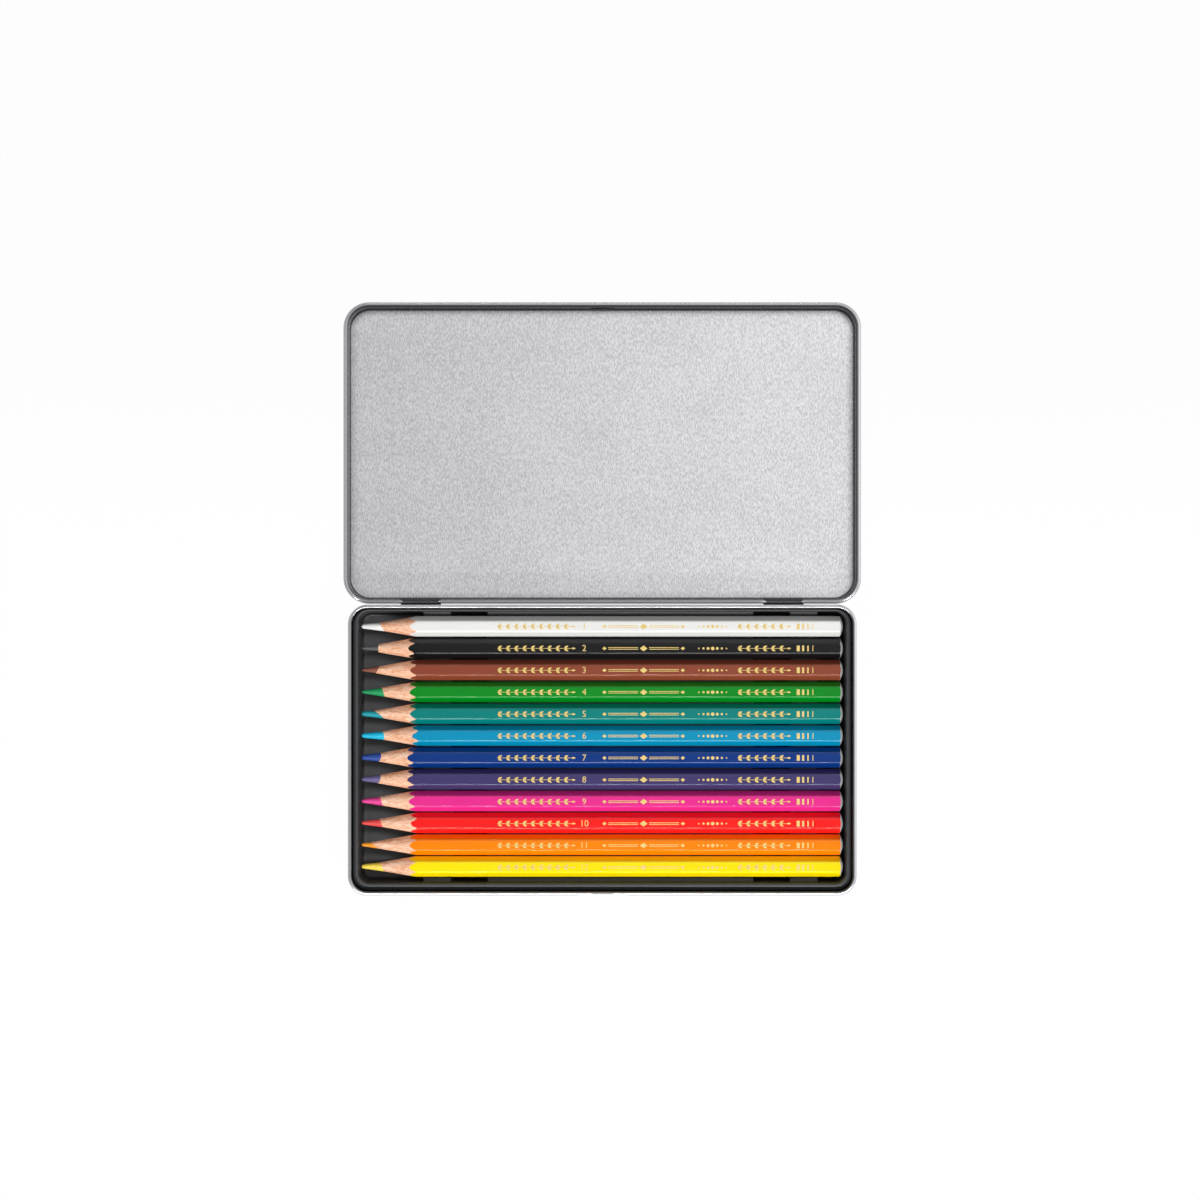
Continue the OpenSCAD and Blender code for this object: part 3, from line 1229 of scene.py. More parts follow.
@dataclass
class Tray:
    """The thermoformed tray: flange, drafted hollow and three cradles with grooves."""

    pencil_ys: Sequence[float]
    axis_z: float
    flats: float
    sheet: float = 0.5
    flange_side: float = 1.7
    flange_front: float = 2.25
    flange_back: float = 0.55
    hollow_r: float = 4.2
    edge_r: float = 0.5
    foot_r: float = 1.2
    draft: float = 5
    tray_r: float = 5.35
    seat_gap: float = 0.1
    ridge_drop: float = 1
    ridge_r: float = 0.5
    groove_r: float = 0.25
    tip_bay: float = 23.1
    end_bay: float = 9.9
    cradle_l: float = 10.6
    channel_l: float = 12.75
    slope: float = 0.3
    bay_margin: float = 2
    corner_steps: int = 12
    bay_steps: int = 5
    groove_steps: int = 4
    line_gap: float = 0.02
    crease: float = 60

    def __post_init__(self) -> None:
        """Reads the overall sizes from the frame."""
        box = Box.of("pencil_tray")
        self.half_w, self.half_d = box.size.x / 2, box.size.y / 2
        self.top_z, self.floor_z = box.high.z, box.low.z + self.sheet
        self.hollow_w = self.half_w - self.flange_side
        self.hollow_d = self.half_d - (self.flange_front + self.flange_back) / 2
        self.hollow_y = (self.flange_front - self.flange_back) / 2

    def _wall(self, foot_z: float) -> list[Point]:
        """The back wall's line along Y: a point on the flange, its top corner and its foot.

        Args:
            foot_z: The height of the foot.

        Returns:
            The points.
        """
        top = self.hollow_y + self.hollow_d
        foot = top - (self.top_z - foot_z) * math.tan(math.radians(self.draft))
        return [(top + self.edge_r, self.top_z), (top, self.top_z), (foot, foot_z)]

    def _mirrored(self, line: Sequence[Point]) -> list[Point]:
        """The same line at the front."""
        return [(2 * self.hollow_y - y, z) for y, z in line]

    def _bay_line(self) -> list[Point]:
        """The section along Y through a deep bay.

        Returns:
            Its points from front to back.
        """
        back = self._wall(self.floor_z)
        corners = [*self._mirrored(back), *reversed(back)]
        return rounded(corners, [self.edge_r, self.foot_r, self.foot_r, self.edge_r],
                       self.bay_steps)

    def _cradle_line(self) -> list[Point]:
        """The section along Y through a cradle, with its grooves.

        Returns:
            Its points from front to back.
        """
        half = self.flats / 2 + self.seat_gap
        foot = half / math.sqrt(3)
        ridge_z = self.axis_z - self.ridge_drop
        back = self._wall(self.axis_z)
        corners, radii = self._mirrored(back), [self.edge_r, self.edge_r]
        rows = sorted(self.pencil_ys)
        for y in rows:
            front_z = self.axis_z if y == rows[0] else ridge_z
            back_z = self.axis_z if y == rows[-1] else ridge_z
            reach = [(2 * half + z - self.axis_z) / math.sqrt(3) for z in (front_z, back_z)]
            corners += [(y - reach[0], front_z), (y - foot, self.axis_z - half),
                        (y + foot, self.axis_z - half), (y + reach[1], back_z)]
            radii += [self.ridge_r, self.groove_r, self.groove_r, self.ridge_r]
        corners += reversed(back)
        return rounded(corners, [*radii, self.edge_r, self.edge_r], self.groove_steps)

    def _steps_along(self) -> list[Point]:
        """Works out where the tray's section changes along X.

        Returns:
            Places along X, with how much of a cradle stands there, from 0 to 1.
        """
        start, end = self.tip_bay - self.hollow_w, self.hollow_w - self.end_bay
        first, last = start + self.cradle_l, end - self.cradle_l
        spans = [(start, first), (first + self.channel_l, last - self.channel_l), (last, end)]
        rise, run = self.axis_z - self.floor_z, self.slope
        line = [(self.hollow_r - self.hollow_w, 0.0)]
        for low, high in spans:
            corners = [(low - self.bay_margin, 0.0), (low - run, 0.0), (low + run, rise),
                       (high - run, rise), (high + run, 0.0), (high + self.bay_margin, 0.0)]
            radii = [self.groove_r, self.ridge_r, self.ridge_r, self.groove_r]
            line += rounded(corners, radii, self.groove_steps)
        line.append((self.hollow_w - self.hollow_r, 0.0))
        return [(x, z / rise) for x, z in line]

    def build(self, plastic: Paint) -> Piece:
        """Makes the tray.

        Args:
            plastic: Its finish.

        Returns:
            The piece.
        """
        shape = Shape()
        bay, cradle = self._bay_line(), self._cradle_line()
        ys = self._lines_across(bay, cradle)
        lows, highs = [height_at(bay, y) for y in ys], [height_at(cradle, y) for y in ys]
        shape.sweep([Vector((x, y, low + (high - low) * share))
                     for y, low, high in zip(ys, lows, highs)] for x, share in self._steps_along())
        self._close_ends(shape, list(zip(ys, lows)))
        self._spread_flange(shape)
        shape.face_up()
        tag = Tag("tray_sheet", "tray", "tray_plastic", ("pencil_tray",))
        piece = shape.finish(tag, [plastic], self.crease)
        thicken(piece, self.sheet, -1)
        return piece

    def _lines_across(self, bay: Sequence[Point], cradle: Sequence[Point]) -> list[float]:
        """Chooses the lines along X, alike in both walls, where either section bends.

        Args:
            bay: The section through a deep bay.
            cradle: The section through a cradle.

        Returns:
            Their places along Y.
        """
        foot = min(y for y, z in bay if z < self.floor_z + WELD)
        far_foot = 2 * self.hollow_y - foot
        wall, floor = [bay[0][0]], [foot]
        for y in sorted({y for y, _ in bay} | {y for y, _ in cradle}):
            if wall[-1] + self.line_gap < y < foot - self.line_gap:
                wall.append(y)
            if floor[-1] + self.line_gap < y < far_foot - self.line_gap:
                floor.append(y)
        return [*wall, *floor, far_foot, *[2 * self.hollow_y - y for y in reversed(wall)]]

    def _close_ends(self, shape: Shape, section: Sequence[Point]) -> None:
        """Runs the wall round both ends of the hollow and fills their floors.

        Args:
            shape: The tray so far, a sheet that spans the hollow's straight sides.
            section: The section along Y through a bay.
        """
        corner_x = self.hollow_w - self.hollow_r
        corner_y = self.hollow_d - self.hollow_r
        foot_y = min(y for y, z in section if z < self.floor_z + WELD)
        wall = [(y, z) for y, z in section if y <= foot_y + WELD]
        for side in (-1, 1):
            verts = shape.chain(Vector((side * corner_x, y, z)) for y, z in wall)
            front = Vector((side * corner_x, self.hollow_y - corner_y, 0))
            back = Vector((side * corner_x, self.hollow_y + corner_y, 0))
            verts = shape.revolve(verts, front, "Z", side * 90, self.corner_steps)
            verts = shape.shift(verts, back - front)
            shape.revolve(verts, back, "Z", side * 90, self.corner_steps)
        shape.weld()
        for side in (-1, 1):
            shape.close(lambda p, s=side: abs(p.z - self.floor_z) < WELD
                        and s * p.x > corner_x - WELD)

    def _spread_flange(self, shape: Shape) -> None:
        """Extrudes the hollow's edge out to the tray's own outline.

        Args:
            shape: The tray so far, the closed hollow.
        """
        rim = [e for e in shape.bm.edges if e.is_boundary]
        made = bmesh.ops.extrude_edge_only(shape.bm, edges=rim)["geom"]
        corner = Vector((self.hollow_w - self.hollow_r, self.hollow_d - self.hollow_r))
        outer = Vector((self.half_w - self.tray_r, self.half_d - self.tray_r))
        for vert in (g for g in made if isinstance(g, bmesh.types.BMVert)):
            off = Vector((abs(vert.co.x), abs(vert.co.y - self.hollow_y))) - corner
            if off.x > -WELD and off.y > -WELD:
                place = outer + off.normalized() * self.tray_r
            elif off.x > -WELD:
                place = Vector((self.half_w, outer.y * (off.y + corner.y) / corner.y))
            else:
                place = Vector((outer.x * (off.x + corner.x) / corner.x, self.half_d))
            vert.co.x = math.copysign(1, vert.co.x) * place.x
            vert.co.y = math.copysign(1, vert.co.y - self.hollow_y) * place.y


@dataclass(frozen=True)
class Hexagon:
    """A hexagon with a flat on top and rounded corners."""

    flats: float
    corner_r: float = 1.1
    flat_steps: int = 6
    corner_steps: int = 4

    def radius(self, angle: float) -> float:
        """The distance from the middle to the outline.

        Args:
            angle: Measured from the top, in radians.

        Returns:
            The distance in millimetres.
        """
        apothem = self.flats / 2
        off = abs((angle + math.pi / 6) % (math.pi / 3) - math.pi / 6)
        if off < self.flat_half:
            return apothem / math.cos(off)
        middle = (apothem - self.corner_r) / math.cos(math.pi / 6)
        near = math.pi / 6 - off
        across = math.sqrt(self.corner_r ** 2 - (middle * math.sin(near)) ** 2)
        return middle * math.cos(near) + across

    @property
    def flat_half(self) -> float:
        """Half the angle that a flat takes, in radians."""
        apothem = self.flats / 2
        return math.atan((apothem - self.corner_r) * math.tan(math.pi / 6) / apothem)

    def angles(self) -> list[Point]:
        """Chooses a ring's vertices, closer together round the corners.

        Returns:
            Their angles, with how near each is to a corner, from 0 to 1.
        """
        flat, corner = self.flat_half, math.pi / 6 - self.flat_half
        on_flat, on_corner = self.flat_steps, self.corner_steps
        made = []
        for face in range(6):
            middle = face * math.pi / 3
            made += [(middle + flat * k / on_flat, 0.0) for k in range(-on_flat, on_flat)]
            made += [(middle + flat + corner * k / on_corner, 1 - abs(k - on_corner) / on_corner)
                     for k in range(2 * on_corner)]
        return made


@dataclass(frozen=True)
class Sharpening:
    """How one pencil's point has been cut and worn."""

    nose: float
    bared: float
    slant: float = 0.0
    bow: float = 0.0
    worn: float = 0.0
    step: float = 0.0


@dataclass(frozen=True)
class Colouring:
    """One pencil of the set: its colours and how it is sharpened."""

    name: str
    lacquer: str
    core: str
    point: Sharpening


class Motif(Enum):
    """The parts of the gold print."""

    GARLAND = "pairs of leaves on a stem"
    RULE = "thin rule between lozenges"
    DOTS = "row of dots"
    BARS = "upright bars"
    NUMBER = "the pencil's number"


@dataclass
class Print:
    """The generic gold print along the top flat: ornament and the pencil's number."""

    number: int
    thickness: float = 0.02
    layout: tuple[tuple[Motif, float, float], ...] = (
        (Motif.GARLAND, -38, 27), (Motif.NUMBER, -6.5, 0), (Motif.RULE, 0, 30),
        (Motif.DOTS, 35, 10), (Motif.GARLAND, 49, 18), (Motif.BARS, 71, 6))
    stem_w: float = 0.16
    leaf_pitch: float = 2.9
    leaf_turn: float = 32
    leaf_l: float = 1.702
    end_leaf_l: float = 1.38
    leaf_root: Point = (0.3, 0.12)
    leaf_sides: int = 14
    rule_w: float = 0.24
    rule_apart: float = 0.6
    rule_gap: float = 2.2
    middle_gap: float = 2
    end_lozenge: Point = (1.6, 1.3)
    lozenge: Point = (2.8, 2.1)
    dot_count: int = 7
    dot_small: float = 0.55
    dot_growth: float = 0.75
    bar_widths: tuple[float, ...] = (1.1, 0.75, 0.5, 0.3)
    bar_places: float = 3.4
    bar_h: float = 2.07
    figure_size: float = 3.22
    shape: Shape = field(default_factory=Shape)

    def stamp(self) -> Shape:
        """Lays out the print flat, reading along X, and gives it its thickness.

        Returns:
            The print, on the plane at height zero.
        """
        draw = {Motif.GARLAND: self._garland, Motif.RULE: self._rule, Motif.DOTS: self._dots,
                Motif.BARS: self._bars, Motif.NUMBER: self._number}
        for motif, start, length in self.layout:
            draw[motif](start, length)
        bm = self.shape.bm
        made = bmesh.ops.extrude_face_region(bm, geom=bm.faces[:])["geom"]
        lifted = [g for g in made if isinstance(g, bmesh.types.BMVert)]
        bmesh.ops.translate(bm, verts=lifted, vec=Vector((0, 0, self.thickness)))
        self.shape.outward()
        return self.shape

    def _put(self, verts: Verts, size: Point, place: Point) -> None:
        """Stretches a figure of size 1 and moves it to its place."""
        bmesh.ops.scale(self.shape.bm, verts=verts, vec=Vector((*size, 1)))
        bmesh.ops.translate(self.shape.bm, verts=verts, vec=Vector((*place, 0)))

    def _disc(self, sides: int) -> Verts:
        """Lays a disc of size 1."""
        bm = self.shape.bm
        return bmesh.ops.create_circle(bm, cap_ends=True, segments=sides, radius=0.5)["verts"]

    def _bar(self, place: Point, size: Point) -> None:
        """Draws a straight bar of that length and width."""
        made = bmesh.ops.create_grid(self.shape.bm, x_segments=1, y_segments=1, size=0.5)
        self._put(made["verts"], size, place)

    def _leaf(self, root: Point, length: float, turn: float) -> None:
        """Draws a leaf with a pointed end.

        Args:
            root: Where it leaves the stem.
            length: How long it is.
            turn: Which way it points, in degrees.
        """
        verts = self._disc(self.leaf_sides)
        for vert in verts:
            bulge = math.sqrt(max(0.0, 1 - abs(2 * vert.co.x) ** 3) + 0.02)
            vert.co.y *= 0.51 * (0.9 - vert.co.x) * bulge
        self._put(verts, (length, length), (length / 2, 0))
        bmesh.ops.rotate(self.shape.bm, verts=verts, cent=Vector(), matrix=turn_about("Z", turn))
        bmesh.ops.translate(self.shape.bm, verts=verts, vec=Vector((*root, 0)))

    def _garland(self, start: float, length: float) -> None:
        """Draws pairs of leaves along a stem, with a leaf at its end.

        Args:
            start: Where it begins along X.
            length: How long it is.
        """
        pairs = round(length / self.leaf_pitch)
        along, off = self.leaf_root
        self._bar((start + length / 2, 0), (length, self.stem_w))
        for k in range(pairs):
            x = start + k * (length / pairs) + along
            for side in (1, -1):
                self._leaf((x, side * off), self.leaf_l, side * self.leaf_turn)
        self._leaf((start + length, 0), self.end_leaf_l, 0)

    def _rule(self, start: float, length: float) -> None:
        """Draws a thin double rule between lozenges, with one in the middle.

        Args:
            start: Where it begins along X.
            length: How long it is.
        """
        end_half = self.end_lozenge[0] / 2
        for x in (start + end_half, start + length - end_half):
            self._put(self._disc(4), self.end_lozenge, (x, 0))
        self._put(self._disc(4), self.lozenge, (start + length / 2, 0))
        stretch = length / 2 - self.middle_gap - self.rule_gap
        inset = self.rule_gap + stretch / 2
        for x in (start + inset, start + length - inset):
            for side in (-0.5, 0.5):
                self._bar((x, side * self.rule_apart), (stretch, self.rule_w))

    def _dots(self, start: float, length: float) -> None:
        """Draws dots that grow towards the middle of the row.

        Args:
            start: Where the row begins along X.
            length: How long it is.
        """
        last = self.dot_count - 1
        for k in range(self.dot_count):
            size = self.dot_small + self.dot_growth * (1 - abs(2 * k / last - 1))
            self._put(self._disc(12), (size, size), (start + length * k / last, 0))

    def _bars(self, start: float, length: float) -> None:
        """Draws upright bars that get thinner, from a start along X over a length."""
        for k, width in enumerate(self.bar_widths):
            self._bar((start + length * k / self.bar_places, 0), (width, self.bar_h))

    def _number(self, start: float, length: float) -> None:
        """Draws the number with the plain built-in figures.

        Args:
            start: Where its place begins along X.
            length: How long its place is. The number is in the middle.
        """
        bm = self.shape.bm
        curve = bpy.data.curves.new("figures", "FONT")
        curve.body = str(self.number)
        curve.size = self.figure_size
        curve.align_x = curve.align_y = "CENTER"
        curve.resolution_u = 3
        holder = bpy.data.objects.new("figures", curve)
        bpy.context.scene.collection.objects.link(holder)
        bpy.context.view_layer.update()
        graph = bpy.context.evaluated_depsgraph_get()
        mesh = bpy.data.meshes.new_from_object(holder.evaluated_get(graph))
        known = set(bm.verts)
        bm.from_mesh(mesh)
        bmesh.ops.remove_doubles(bm, verts=[v for v in bm.verts if v not in known], dist=WELD)
        fresh = [v for v in bm.verts if v not in known]
        bmesh.ops.translate(bm, verts=fresh, vec=Vector((start + length / 2, 0, 0)))
        bpy.data.objects.remove(holder)
        bpy.data.curves.remove(curve)
        bpy.data.meshes.remove(mesh)


@dataclass(frozen=True)
class PencilPaints:
    """The finishes that all pencils share."""

    cedar: Paint
    dip: Paint
    foil: Paint


@dataclass(frozen=True)
class Column:
    """One line of vertices along a pencil: its angle from the top and what lies along it."""

    angle: float
    corner: float
    barrel: float
    bared: float
    chip: float


@dataclass
class Pencil:
    """One pencil: core, cedar casing, lacquer, dipped end and gold print.

    A piece's line says where its surface is in a column, as distances from the tip and
    from the axis.
    """

    kind: Colouring
    number: int
    paints: PencilPaints
    flats: float = 6.8
    core_r: float = 1.5
    point_angle: float = 9.7
    tip_r: float = 0.35
    dome_h: float = 1.3
    film: float = 0.06
    fit: float = 0.01
    teeth: float = 0.55
    low_tooth: float = 0.35
    nose_l: float = 0.32
    hidden: float = 1.5
    bore_end: float = 0.5
    wood_end: float = 0.3
    film_end: float = 0.16
    film_round: float = 0.015
    step_lip: Point = (0.02, 0.12)
    neck: float = 3
    film_neck: float = 2.5
    sleeve: Point = (0.25, 0.08)
    dip_gap: float = 0.03
    print_sunk: float = 0.005
    core_shares: tuple[float, ...] = (
        0.0, 0.004, 0.012, 0.03, 0.06, 0.1, 0.16, 0.26, 0.4, 0.56, 0.72, 0.86, 1.0)
    cut_shares: tuple[float, ...] = (0.0, 0.12, 0.3, 0.5, 0.7, 0.88, 1.0)
    dome_shares: tuple[float, ...] = (1.0, 0.95, 0.86, 0.7, 0.5, 0.28, 0.1, 0.001)

    def __post_init__(self) -> None:
        """Reads where the pencil lies from the frame and works out its columns."""
        name, point = self.kind.name, self.kind.point
        core, casing = Box.of(f"{name}_core"), Box.of(f"{name}_casing")
        self.tip_x, self.length = core.low.x, casing.high.x - core.low.x
        self.axis = Vector((0, core.centre.y, core.centre.z))
        section, slope = Hexagon(self.flats), math.radians(self.point_angle)
        corner_r = section.radius(math.pi / 6)
        self.dome_r = (corner_r ** 2 + self.dome_h ** 2) / (2 * self.dome_h)
        self.taper = math.tan(slope)
        self.apex = self.tip_r / math.sin(slope) - self.tip_r + point.worn
        self.edge_r = self.cone(point.bared) - point.step
        dice = random.Random(self.number)
        self.columns = []
        for k, (angle, corner) in enumerate(section.angles()):
            bared = point.bared - point.slant / 2 * math.sin(angle) + point.bow * math.cos(angle)
            chip = dice.random() ** 2 * self.teeth * (1 if k % 2 else self.low_tooth)
            self.columns.append(Column(angle, corner, section.radius(angle), bared, chip))

    def cone(self, along: float) -> float:
        """Radius of the cut cone at a distance from the tip."""
        return self.taper * (along + self.apex)

    def shoulder(self, radius: float) -> float:
        """How far from the tip the cut cone has a radius."""
        return radius / self.taper - self.apex

    def heel(self, radius: float) -> float:
        """How far from the tip the domed end is at a radius."""
        return self.length - self.dome_r + math.sqrt(self.dome_r ** 2 - radius ** 2)

    def build(self) -> list[Piece]:
        """Makes the pencil's pieces.

        Returns:
            The pieces.
        """
        name = self.kind.name
        casing, paints = f"casing_{name}", self.paints
        pigment = Pigment(f"pigment_{name}", self.kind.core).material()
        return [
            self._turned(self._tag("pigment", f"core_{name}", "core"), self._core_line,
                         Ends.POLE_AND_FLAT, pigment),
            self._turned(self._tag("cedar", casing, "casing"), self._casing_line,
                         Ends.JOINED, paints.cedar),
            self._lacquer(self._tag("lacquer", casing)),
            self._turned(self._tag("dip", casing), self._dip_line, Ends.FLAT_AND_POLE, paints.dip),
            self._print(self._tag("print", "foil_print")),
        ]

    def _tag(self, part: str, slot: str, *nodes: str) -> Tag:
        """What one of the pencil's parts is, with the nodes it stands for."""
        name = self.kind.name
        return Tag(f"{name}_{part}", f"{name}_pencil", slot, tuple(f"{name}_{n}" for n in nodes))

    def _rings(self, line: Callable[[Column], list[Point]]) -> list[tuple[Vector, ...]]:
        """Turns a piece's line in every column into rings of places.

        Args:
            line: Gives the line in a column.

        Returns:
            The rings, from the line's beginning to its end.
        """
        rows = []
        for at in self.columns:
            across, up = math.sin(at.angle), math.cos(at.angle)
            rows.append([Vector((self.tip_x + along, self.axis.y + radius * across,
                                 self.axis.z + radius * up)) for along, radius in line(at)])
        return list(zip(*rows))

    def _turned(self, tag: Tag, line: Callable[[Column], list[Point]], ends: Ends,
                paint: Paint) -> Piece:
        """Makes a piece from its line in every column.

        Args:
            tag: What the piece is.
            line: Gives its line in a column.
            ends: How it is closed.
            paint: Its finish.

        Returns:
            The piece.
        """
        shape = Shape()
        shape.tube(self._rings(line), ends)
        return shape.finish(tag, [paint])

    def _core_line(self, at: Column) -> list[Point]:
        """The core's line: a worn point, then the rod that the wood hides.

        Args:
            at: The column.

        Returns:
            The line.
        """
        point = self.kind.point
        line = []
        for share in self.core_shares:
            along = at.bared * share
            straight = point.nose + (self.edge_r - point.nose) * min(1.0, along / point.bared)
            full = straight + (self.cone(at.bared) - point.step - self.edge_r) * share ** 3
            line.append((along, full * math.sqrt(1 - math.exp(-along / self.nose_l))))
        rod_r = min(self.edge_r, self.core_r) - self.fit
        end = self.length - self.dome_h - self.bore_end
        return [*line, (at.bared + self.hidden, rod_r), (end, rod_r)]

    def _casing_line(self, at: Column) -> list[Point]:
        """The casing's line: along its bore to the point, over the cut cone and to the rear.

        Args:
            at: The column.

        Returns:
            The line.
        """
        bore_r = min(self.edge_r, self.core_r)
        outer_r = at.barrel - (self.film + self.fit)
        rear, shoulder = self.length - self.dome_h - self.wood_end, self.shoulder(outer_r)
        line = [(rear - self.bore_end, bore_r), (at.bared + self.hidden, bore_r)]
        if self.kind.point.step:
            edge_r, (lip_l, lip_h) = self.cone(at.bared), self.step_lip
            line += [(at.bared, edge_r - self.kind.point.step), (at.bared - lip_l, edge_r - lip_h)]
        for share in self.cut_shares:
            along = at.bared + (shoulder - at.bared) * share
            line.append((along, self.cone(along)))
        return [*line, (shoulder + self.neck, outer_r), (rear, outer_r), (rear, bore_r)]

    def _lacquer_line(self, at: Column) -> list[Point]:
        """The film's line: its chipped edge, its outside, its rear edge and back inside.

        Args:
            at: The column.

        Returns:
            The line.
        """
        inner_r, middle = at.barrel - self.film, self.length / 2
        front, end = self.shoulder(at.barrel), self.heel(at.barrel)
        return [(self.shoulder(inner_r) + at.chip, inner_r), (front + at.chip, at.barrel),
                (front + self.film_neck, at.barrel), (middle, at.barrel),
                (end - self.film_end, at.barrel),
                (end - self.film_end / 3, at.barrel - self.film_round), (end, inner_r),
                (middle, inner_r)]

    def _dip_line(self, at: Column) -> list[Point]:
        """The dip's line: a short sleeve under the lacquer, then the dome.

        Args:
            at: The column.

        Returns:
            The line.
        """
        radii = [(at.barrel - self.fit) * share for share in self.dome_shares]
        return [(self.length - self.dome_h - self.sleeve[0], at.barrel - self.sleeve[1]),
                (self.heel(at.barrel) - self.dip_gap, at.barrel - self.dip_gap),
                *[(self.heel(radius), radius) for radius in radii]]

    def _lacquer(self, tag: Tag) -> Piece:
        """Makes the film of lacquer, cut back in scallops by the sharpener.

        Args:
            tag: What the piece is.

        Returns:
            The piece, with how near a corner each vertex is.
        """
        shape = Shape()
        layer = shape.bm.verts.layers.float.new(CORNER)
        for verts in shape.tube(self._rings(self._lacquer_line), Ends.JOINED):
            for vert, at in zip(verts, self.columns):
                vert[layer] = at.corner
        paint = Lacquer(f"lacquer_{self.kind.name}", self.kind.lacquer).material()
        piece = shape.finish(tag, [paint])
        even_out(piece)
        return piece

    def _print(self, tag: Tag) -> Piece:
        """Makes the gold print, pressed a little into the top flat.

        Args:
            tag: What the piece is.

        Returns:
            The piece.
        """
        shape = Print(self.number).stamp()
        flat = Vector((0, self.axis.y, self.axis.z + self.flats / 2 - self.print_sunk))
        bmesh.ops.translate(shape.bm, verts=shape.bm.verts, vec=flat)
        return shape.finish(tag, [self.paints.foil])


PENCIL_SET = (
    Colouring("white", "#eeedea", "#f3f2f0",
              Sharpening(nose=0.78, bared=7.35, slant=1.9, worn=0.1)),
    Colouring("black", "#131315", "#58585c",
              Sharpening(nose=0.45, bared=6.4, bow=-0.2, worn=0.7, step=0.42)),
    Colouring("brown", "#8d452f", "#8a513f",
              Sharpening(nose=0.32, bared=5.9, slant=-1.4, bow=0.1)),
    Colouring("green", "#00891d", "#0f9a5a",
              Sharpening(nose=0.45, bared=7.85, slant=1.1, bow=0.25, worn=0.2)),
    Colouring("teal", "#00807a", "#0a9aa8",
              Sharpening(nose=0.82, bared=6.4, slant=3.8, worn=0.2)),
    Colouring("sky", "#0090b9", "#00bce2",
              Sharpening(nose=0.77, bared=7.6, slant=0.5, bow=0.8, worn=-0.7)),
    Colouring("navy", "#06357f", "#22479c",
              Sharpening(nose=0.88, bared=6.4, slant=-0.8, bow=0.8, worn=1.0)),
    Colouring("violet", "#42396a", "#6a5f90",
              Sharpening(nose=0.64, bared=6.2, slant=-1.0, bow=0.8, worn=1.0)),
    Colouring("pink", "#e62c8d", "#e63f95",
              Sharpening(nose=0.6, bared=7.2, slant=1.0, bow=0.2, worn=0.5)),
    Colouring("red", "#f71c1b", "#ee4a48",
              Sharpening(nose=0.59, bared=7.15, slant=1.1, bow=0.2, worn=-0.2)),
    Colouring("orange", "#ff8400", "#fb9c1e",
              Sharpening(nose=0.53, bared=4.8, slant=2.8, bow=-0.2, worn=0.2)),
    Colouring("yellow", "#fee100", "#fadb50",
              Sharpening(nose=0.7, bared=7.6, slant=1.6, worn=0.3)),
)


@dataclass(frozen=True)
class Softbox:
    """A rectangular studio lamp."""

    name: str
    place: Place
    target: Place
    size: Point
    power: float

    def hang(self) -> None:
        """Puts the lamp up, facing its target."""
        light = bpy.data.lights.new(self.name, "AREA")
        light.shape = "RECTANGLE"
        light.size, light.size_y = self.size
        light.energy = self.power
        lamp = bpy.data.objects.new(self.name, light)
        lamp.location = self.place
        way = Vector(self.target) - Vector(self.place)
        lamp.rotation_euler = way.to_track_quat("-Z", "Y").to_euler()
        bpy.context.scene.collection.objects.link(lamp)


@dataclass(frozen=True)
class Board:
    """A flat board that isn't part of the object, with its sizes in metres."""

    name: str
    size: Point
    place: Place
    finish: Finish
    tilt: float = 0

    def lay(self) -> Piece:
        """Makes the board.

        Returns:
            The board.
        """
        shape = Shape()
        verts = bmesh.ops.create_grid(shape.bm, x_segments=4, y_segments=4, size=0.5)["verts"]
        bmesh.ops.scale(shape.bm, verts=verts, vec=Vector((*self.size, 1)))
        tilt = turn_about("X", self.tilt)
        bmesh.ops.rotate(shape.bm, verts=verts, cent=Vector(), matrix=tilt)
        bmesh.ops.translate(shape.bm, verts=verts, vec=Vector(self.place))
        board = shape.link(self.name, [self.finish.material()])
        return board


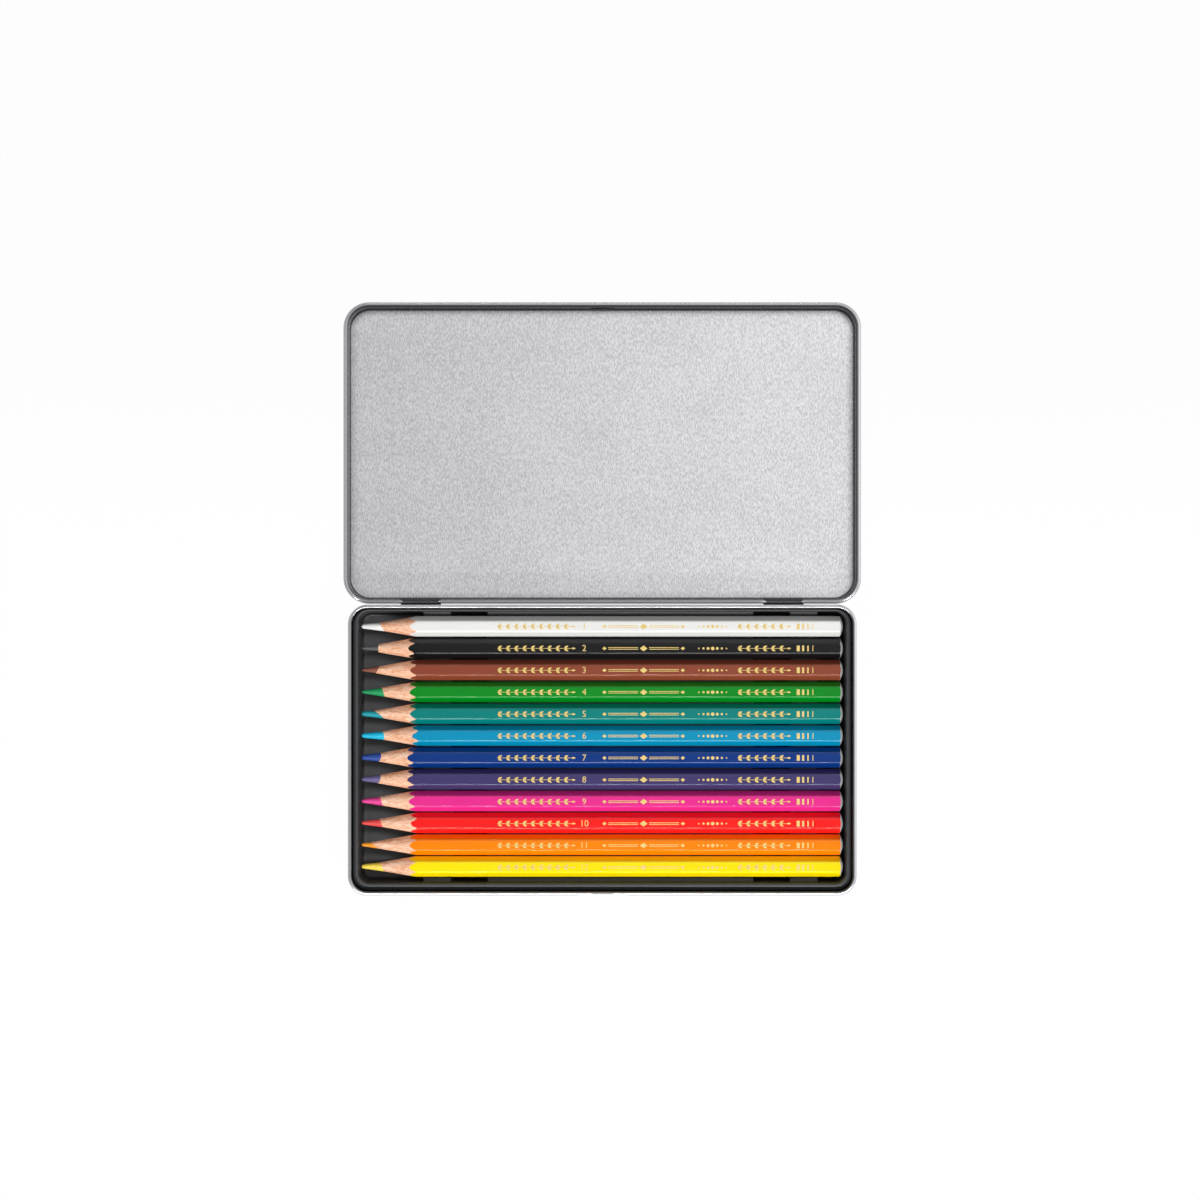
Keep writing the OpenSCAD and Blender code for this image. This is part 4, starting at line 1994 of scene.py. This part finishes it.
@dataclass(frozen=True)
class Studio:
    """Table, lamps, surroundings and the camera straight above."""

    image_px: float = 1200
    px_per_mm: float = 2.75
    distance: float = 900
    focus: Place = (-0.8, 54.2, 7.5)
    sensor: float = 36
    clip: float = 10
    table: Board = Board("tabletop", (8, 8), (0, 0, -0.05 * MM), Tabletop("tabletop"))
    flag: Board = Board("flag", (0.8, 0.125), (0, -0.15, 0.3425), BlackCard("black_card"), 90)
    lamps: tuple[Softbox, ...] = (
        Softbox("key", place=(0.05, -0.65, 0.82), target=(0, -0.03, 0), size=(1.5, 0.05),
                power=13.3),
        Softbox("side", place=(1.2, 0.1, 0.32), target=(0, 0.1, 0), size=(0.7, 0.35), power=0.8),
        Softbox("rear", place=(0, 1.1, 0.5), target=(0, 0.05, 0), size=(0.6, 0.05), power=0.45),
    )

    def build(self) -> None:
        """Sets the scene round the object. The flag, out of the picture, shades the far lid."""
        self.table.lay()
        self.flag.lay().visible_camera = False
        Room().hang()
        for lamp in self.lamps:
            lamp.hang()
        self._hang_camera()
        bpy.context.scene.view_settings.view_transform = "Standard"

    def _hang_camera(self) -> None:
        """Hangs the camera over the middle of the picture, looking straight down."""
        lens = bpy.data.cameras.new("camera")
        lens.sensor_width = self.sensor
        lens.lens = self.sensor * self.distance * self.px_per_mm / self.image_px
        lens.clip_start = self.clip * MM
        camera = bpy.data.objects.new("camera", lens)
        camera.location = Vector(self.focus) * MM + Vector((0, 0, self.distance * MM))
        bpy.context.scene.collection.objects.link(camera)
        bpy.context.scene.camera = camera


def main() -> None:
    """Builds the tin, the tray and the pencils, and the studio round them."""
    logging.basicConfig(level=logging.INFO, format="%(name)s: %(message)s")
    Studio().build()
    # Each tinplate's own painted shade colour darkens its walls, fillets and roll flanks.
    sheet = Tinplate("tinplate").material()
    rolled = Tinplate("tinplate_rolled", light="#e8e8eb", dark="#d6d6da", drawn="#48484c",
                      roughness=0.28, grain=0.1).material()
    # The leaves' dark, dull finish is painted shade.
    leaf = Tinplate("tinplate_leaf_painted_shade", light="#636367", dark="#4e4e52", drawn="#4e4e52",
                    roughness=0.4, grain=0.4).material()
    outside = Tinplate("tinplate_outside", light="#f0f0f2", dark="#d2d2d6", drawn="#c4c4c8",
                       roughness=0.34).material()
    joint = next(j for j in frame["joints"] if j["name"] == "lid_hinge")
    axis = Vector(joint["pos_m"]) / MM
    hinge = Hinge(axis.y, axis.z)
    BaseTin(hinge).build([sheet, rolled, leaf, outside, outside, leaf])
    LidTin(hinge).build([sheet, rolled, outside, outside])
    paints = PencilPaints(Cedar("cedar").material(), DippedEnd("dipped_end").material(),
                          Foil("gold_foil").material())
    pencils = [Pencil(kind, number, paints) for number, kind in enumerate(PENCIL_SET, 1)]
    tray = Tray([p.axis.y for p in pencils], pencils[0].axis.z, pencils[0].flats)
    tray.build(FormedPlastic("tray_plastic").material())
    for pencil in pencils:
        pencil.build()


if __name__ == "__main__":
    main()
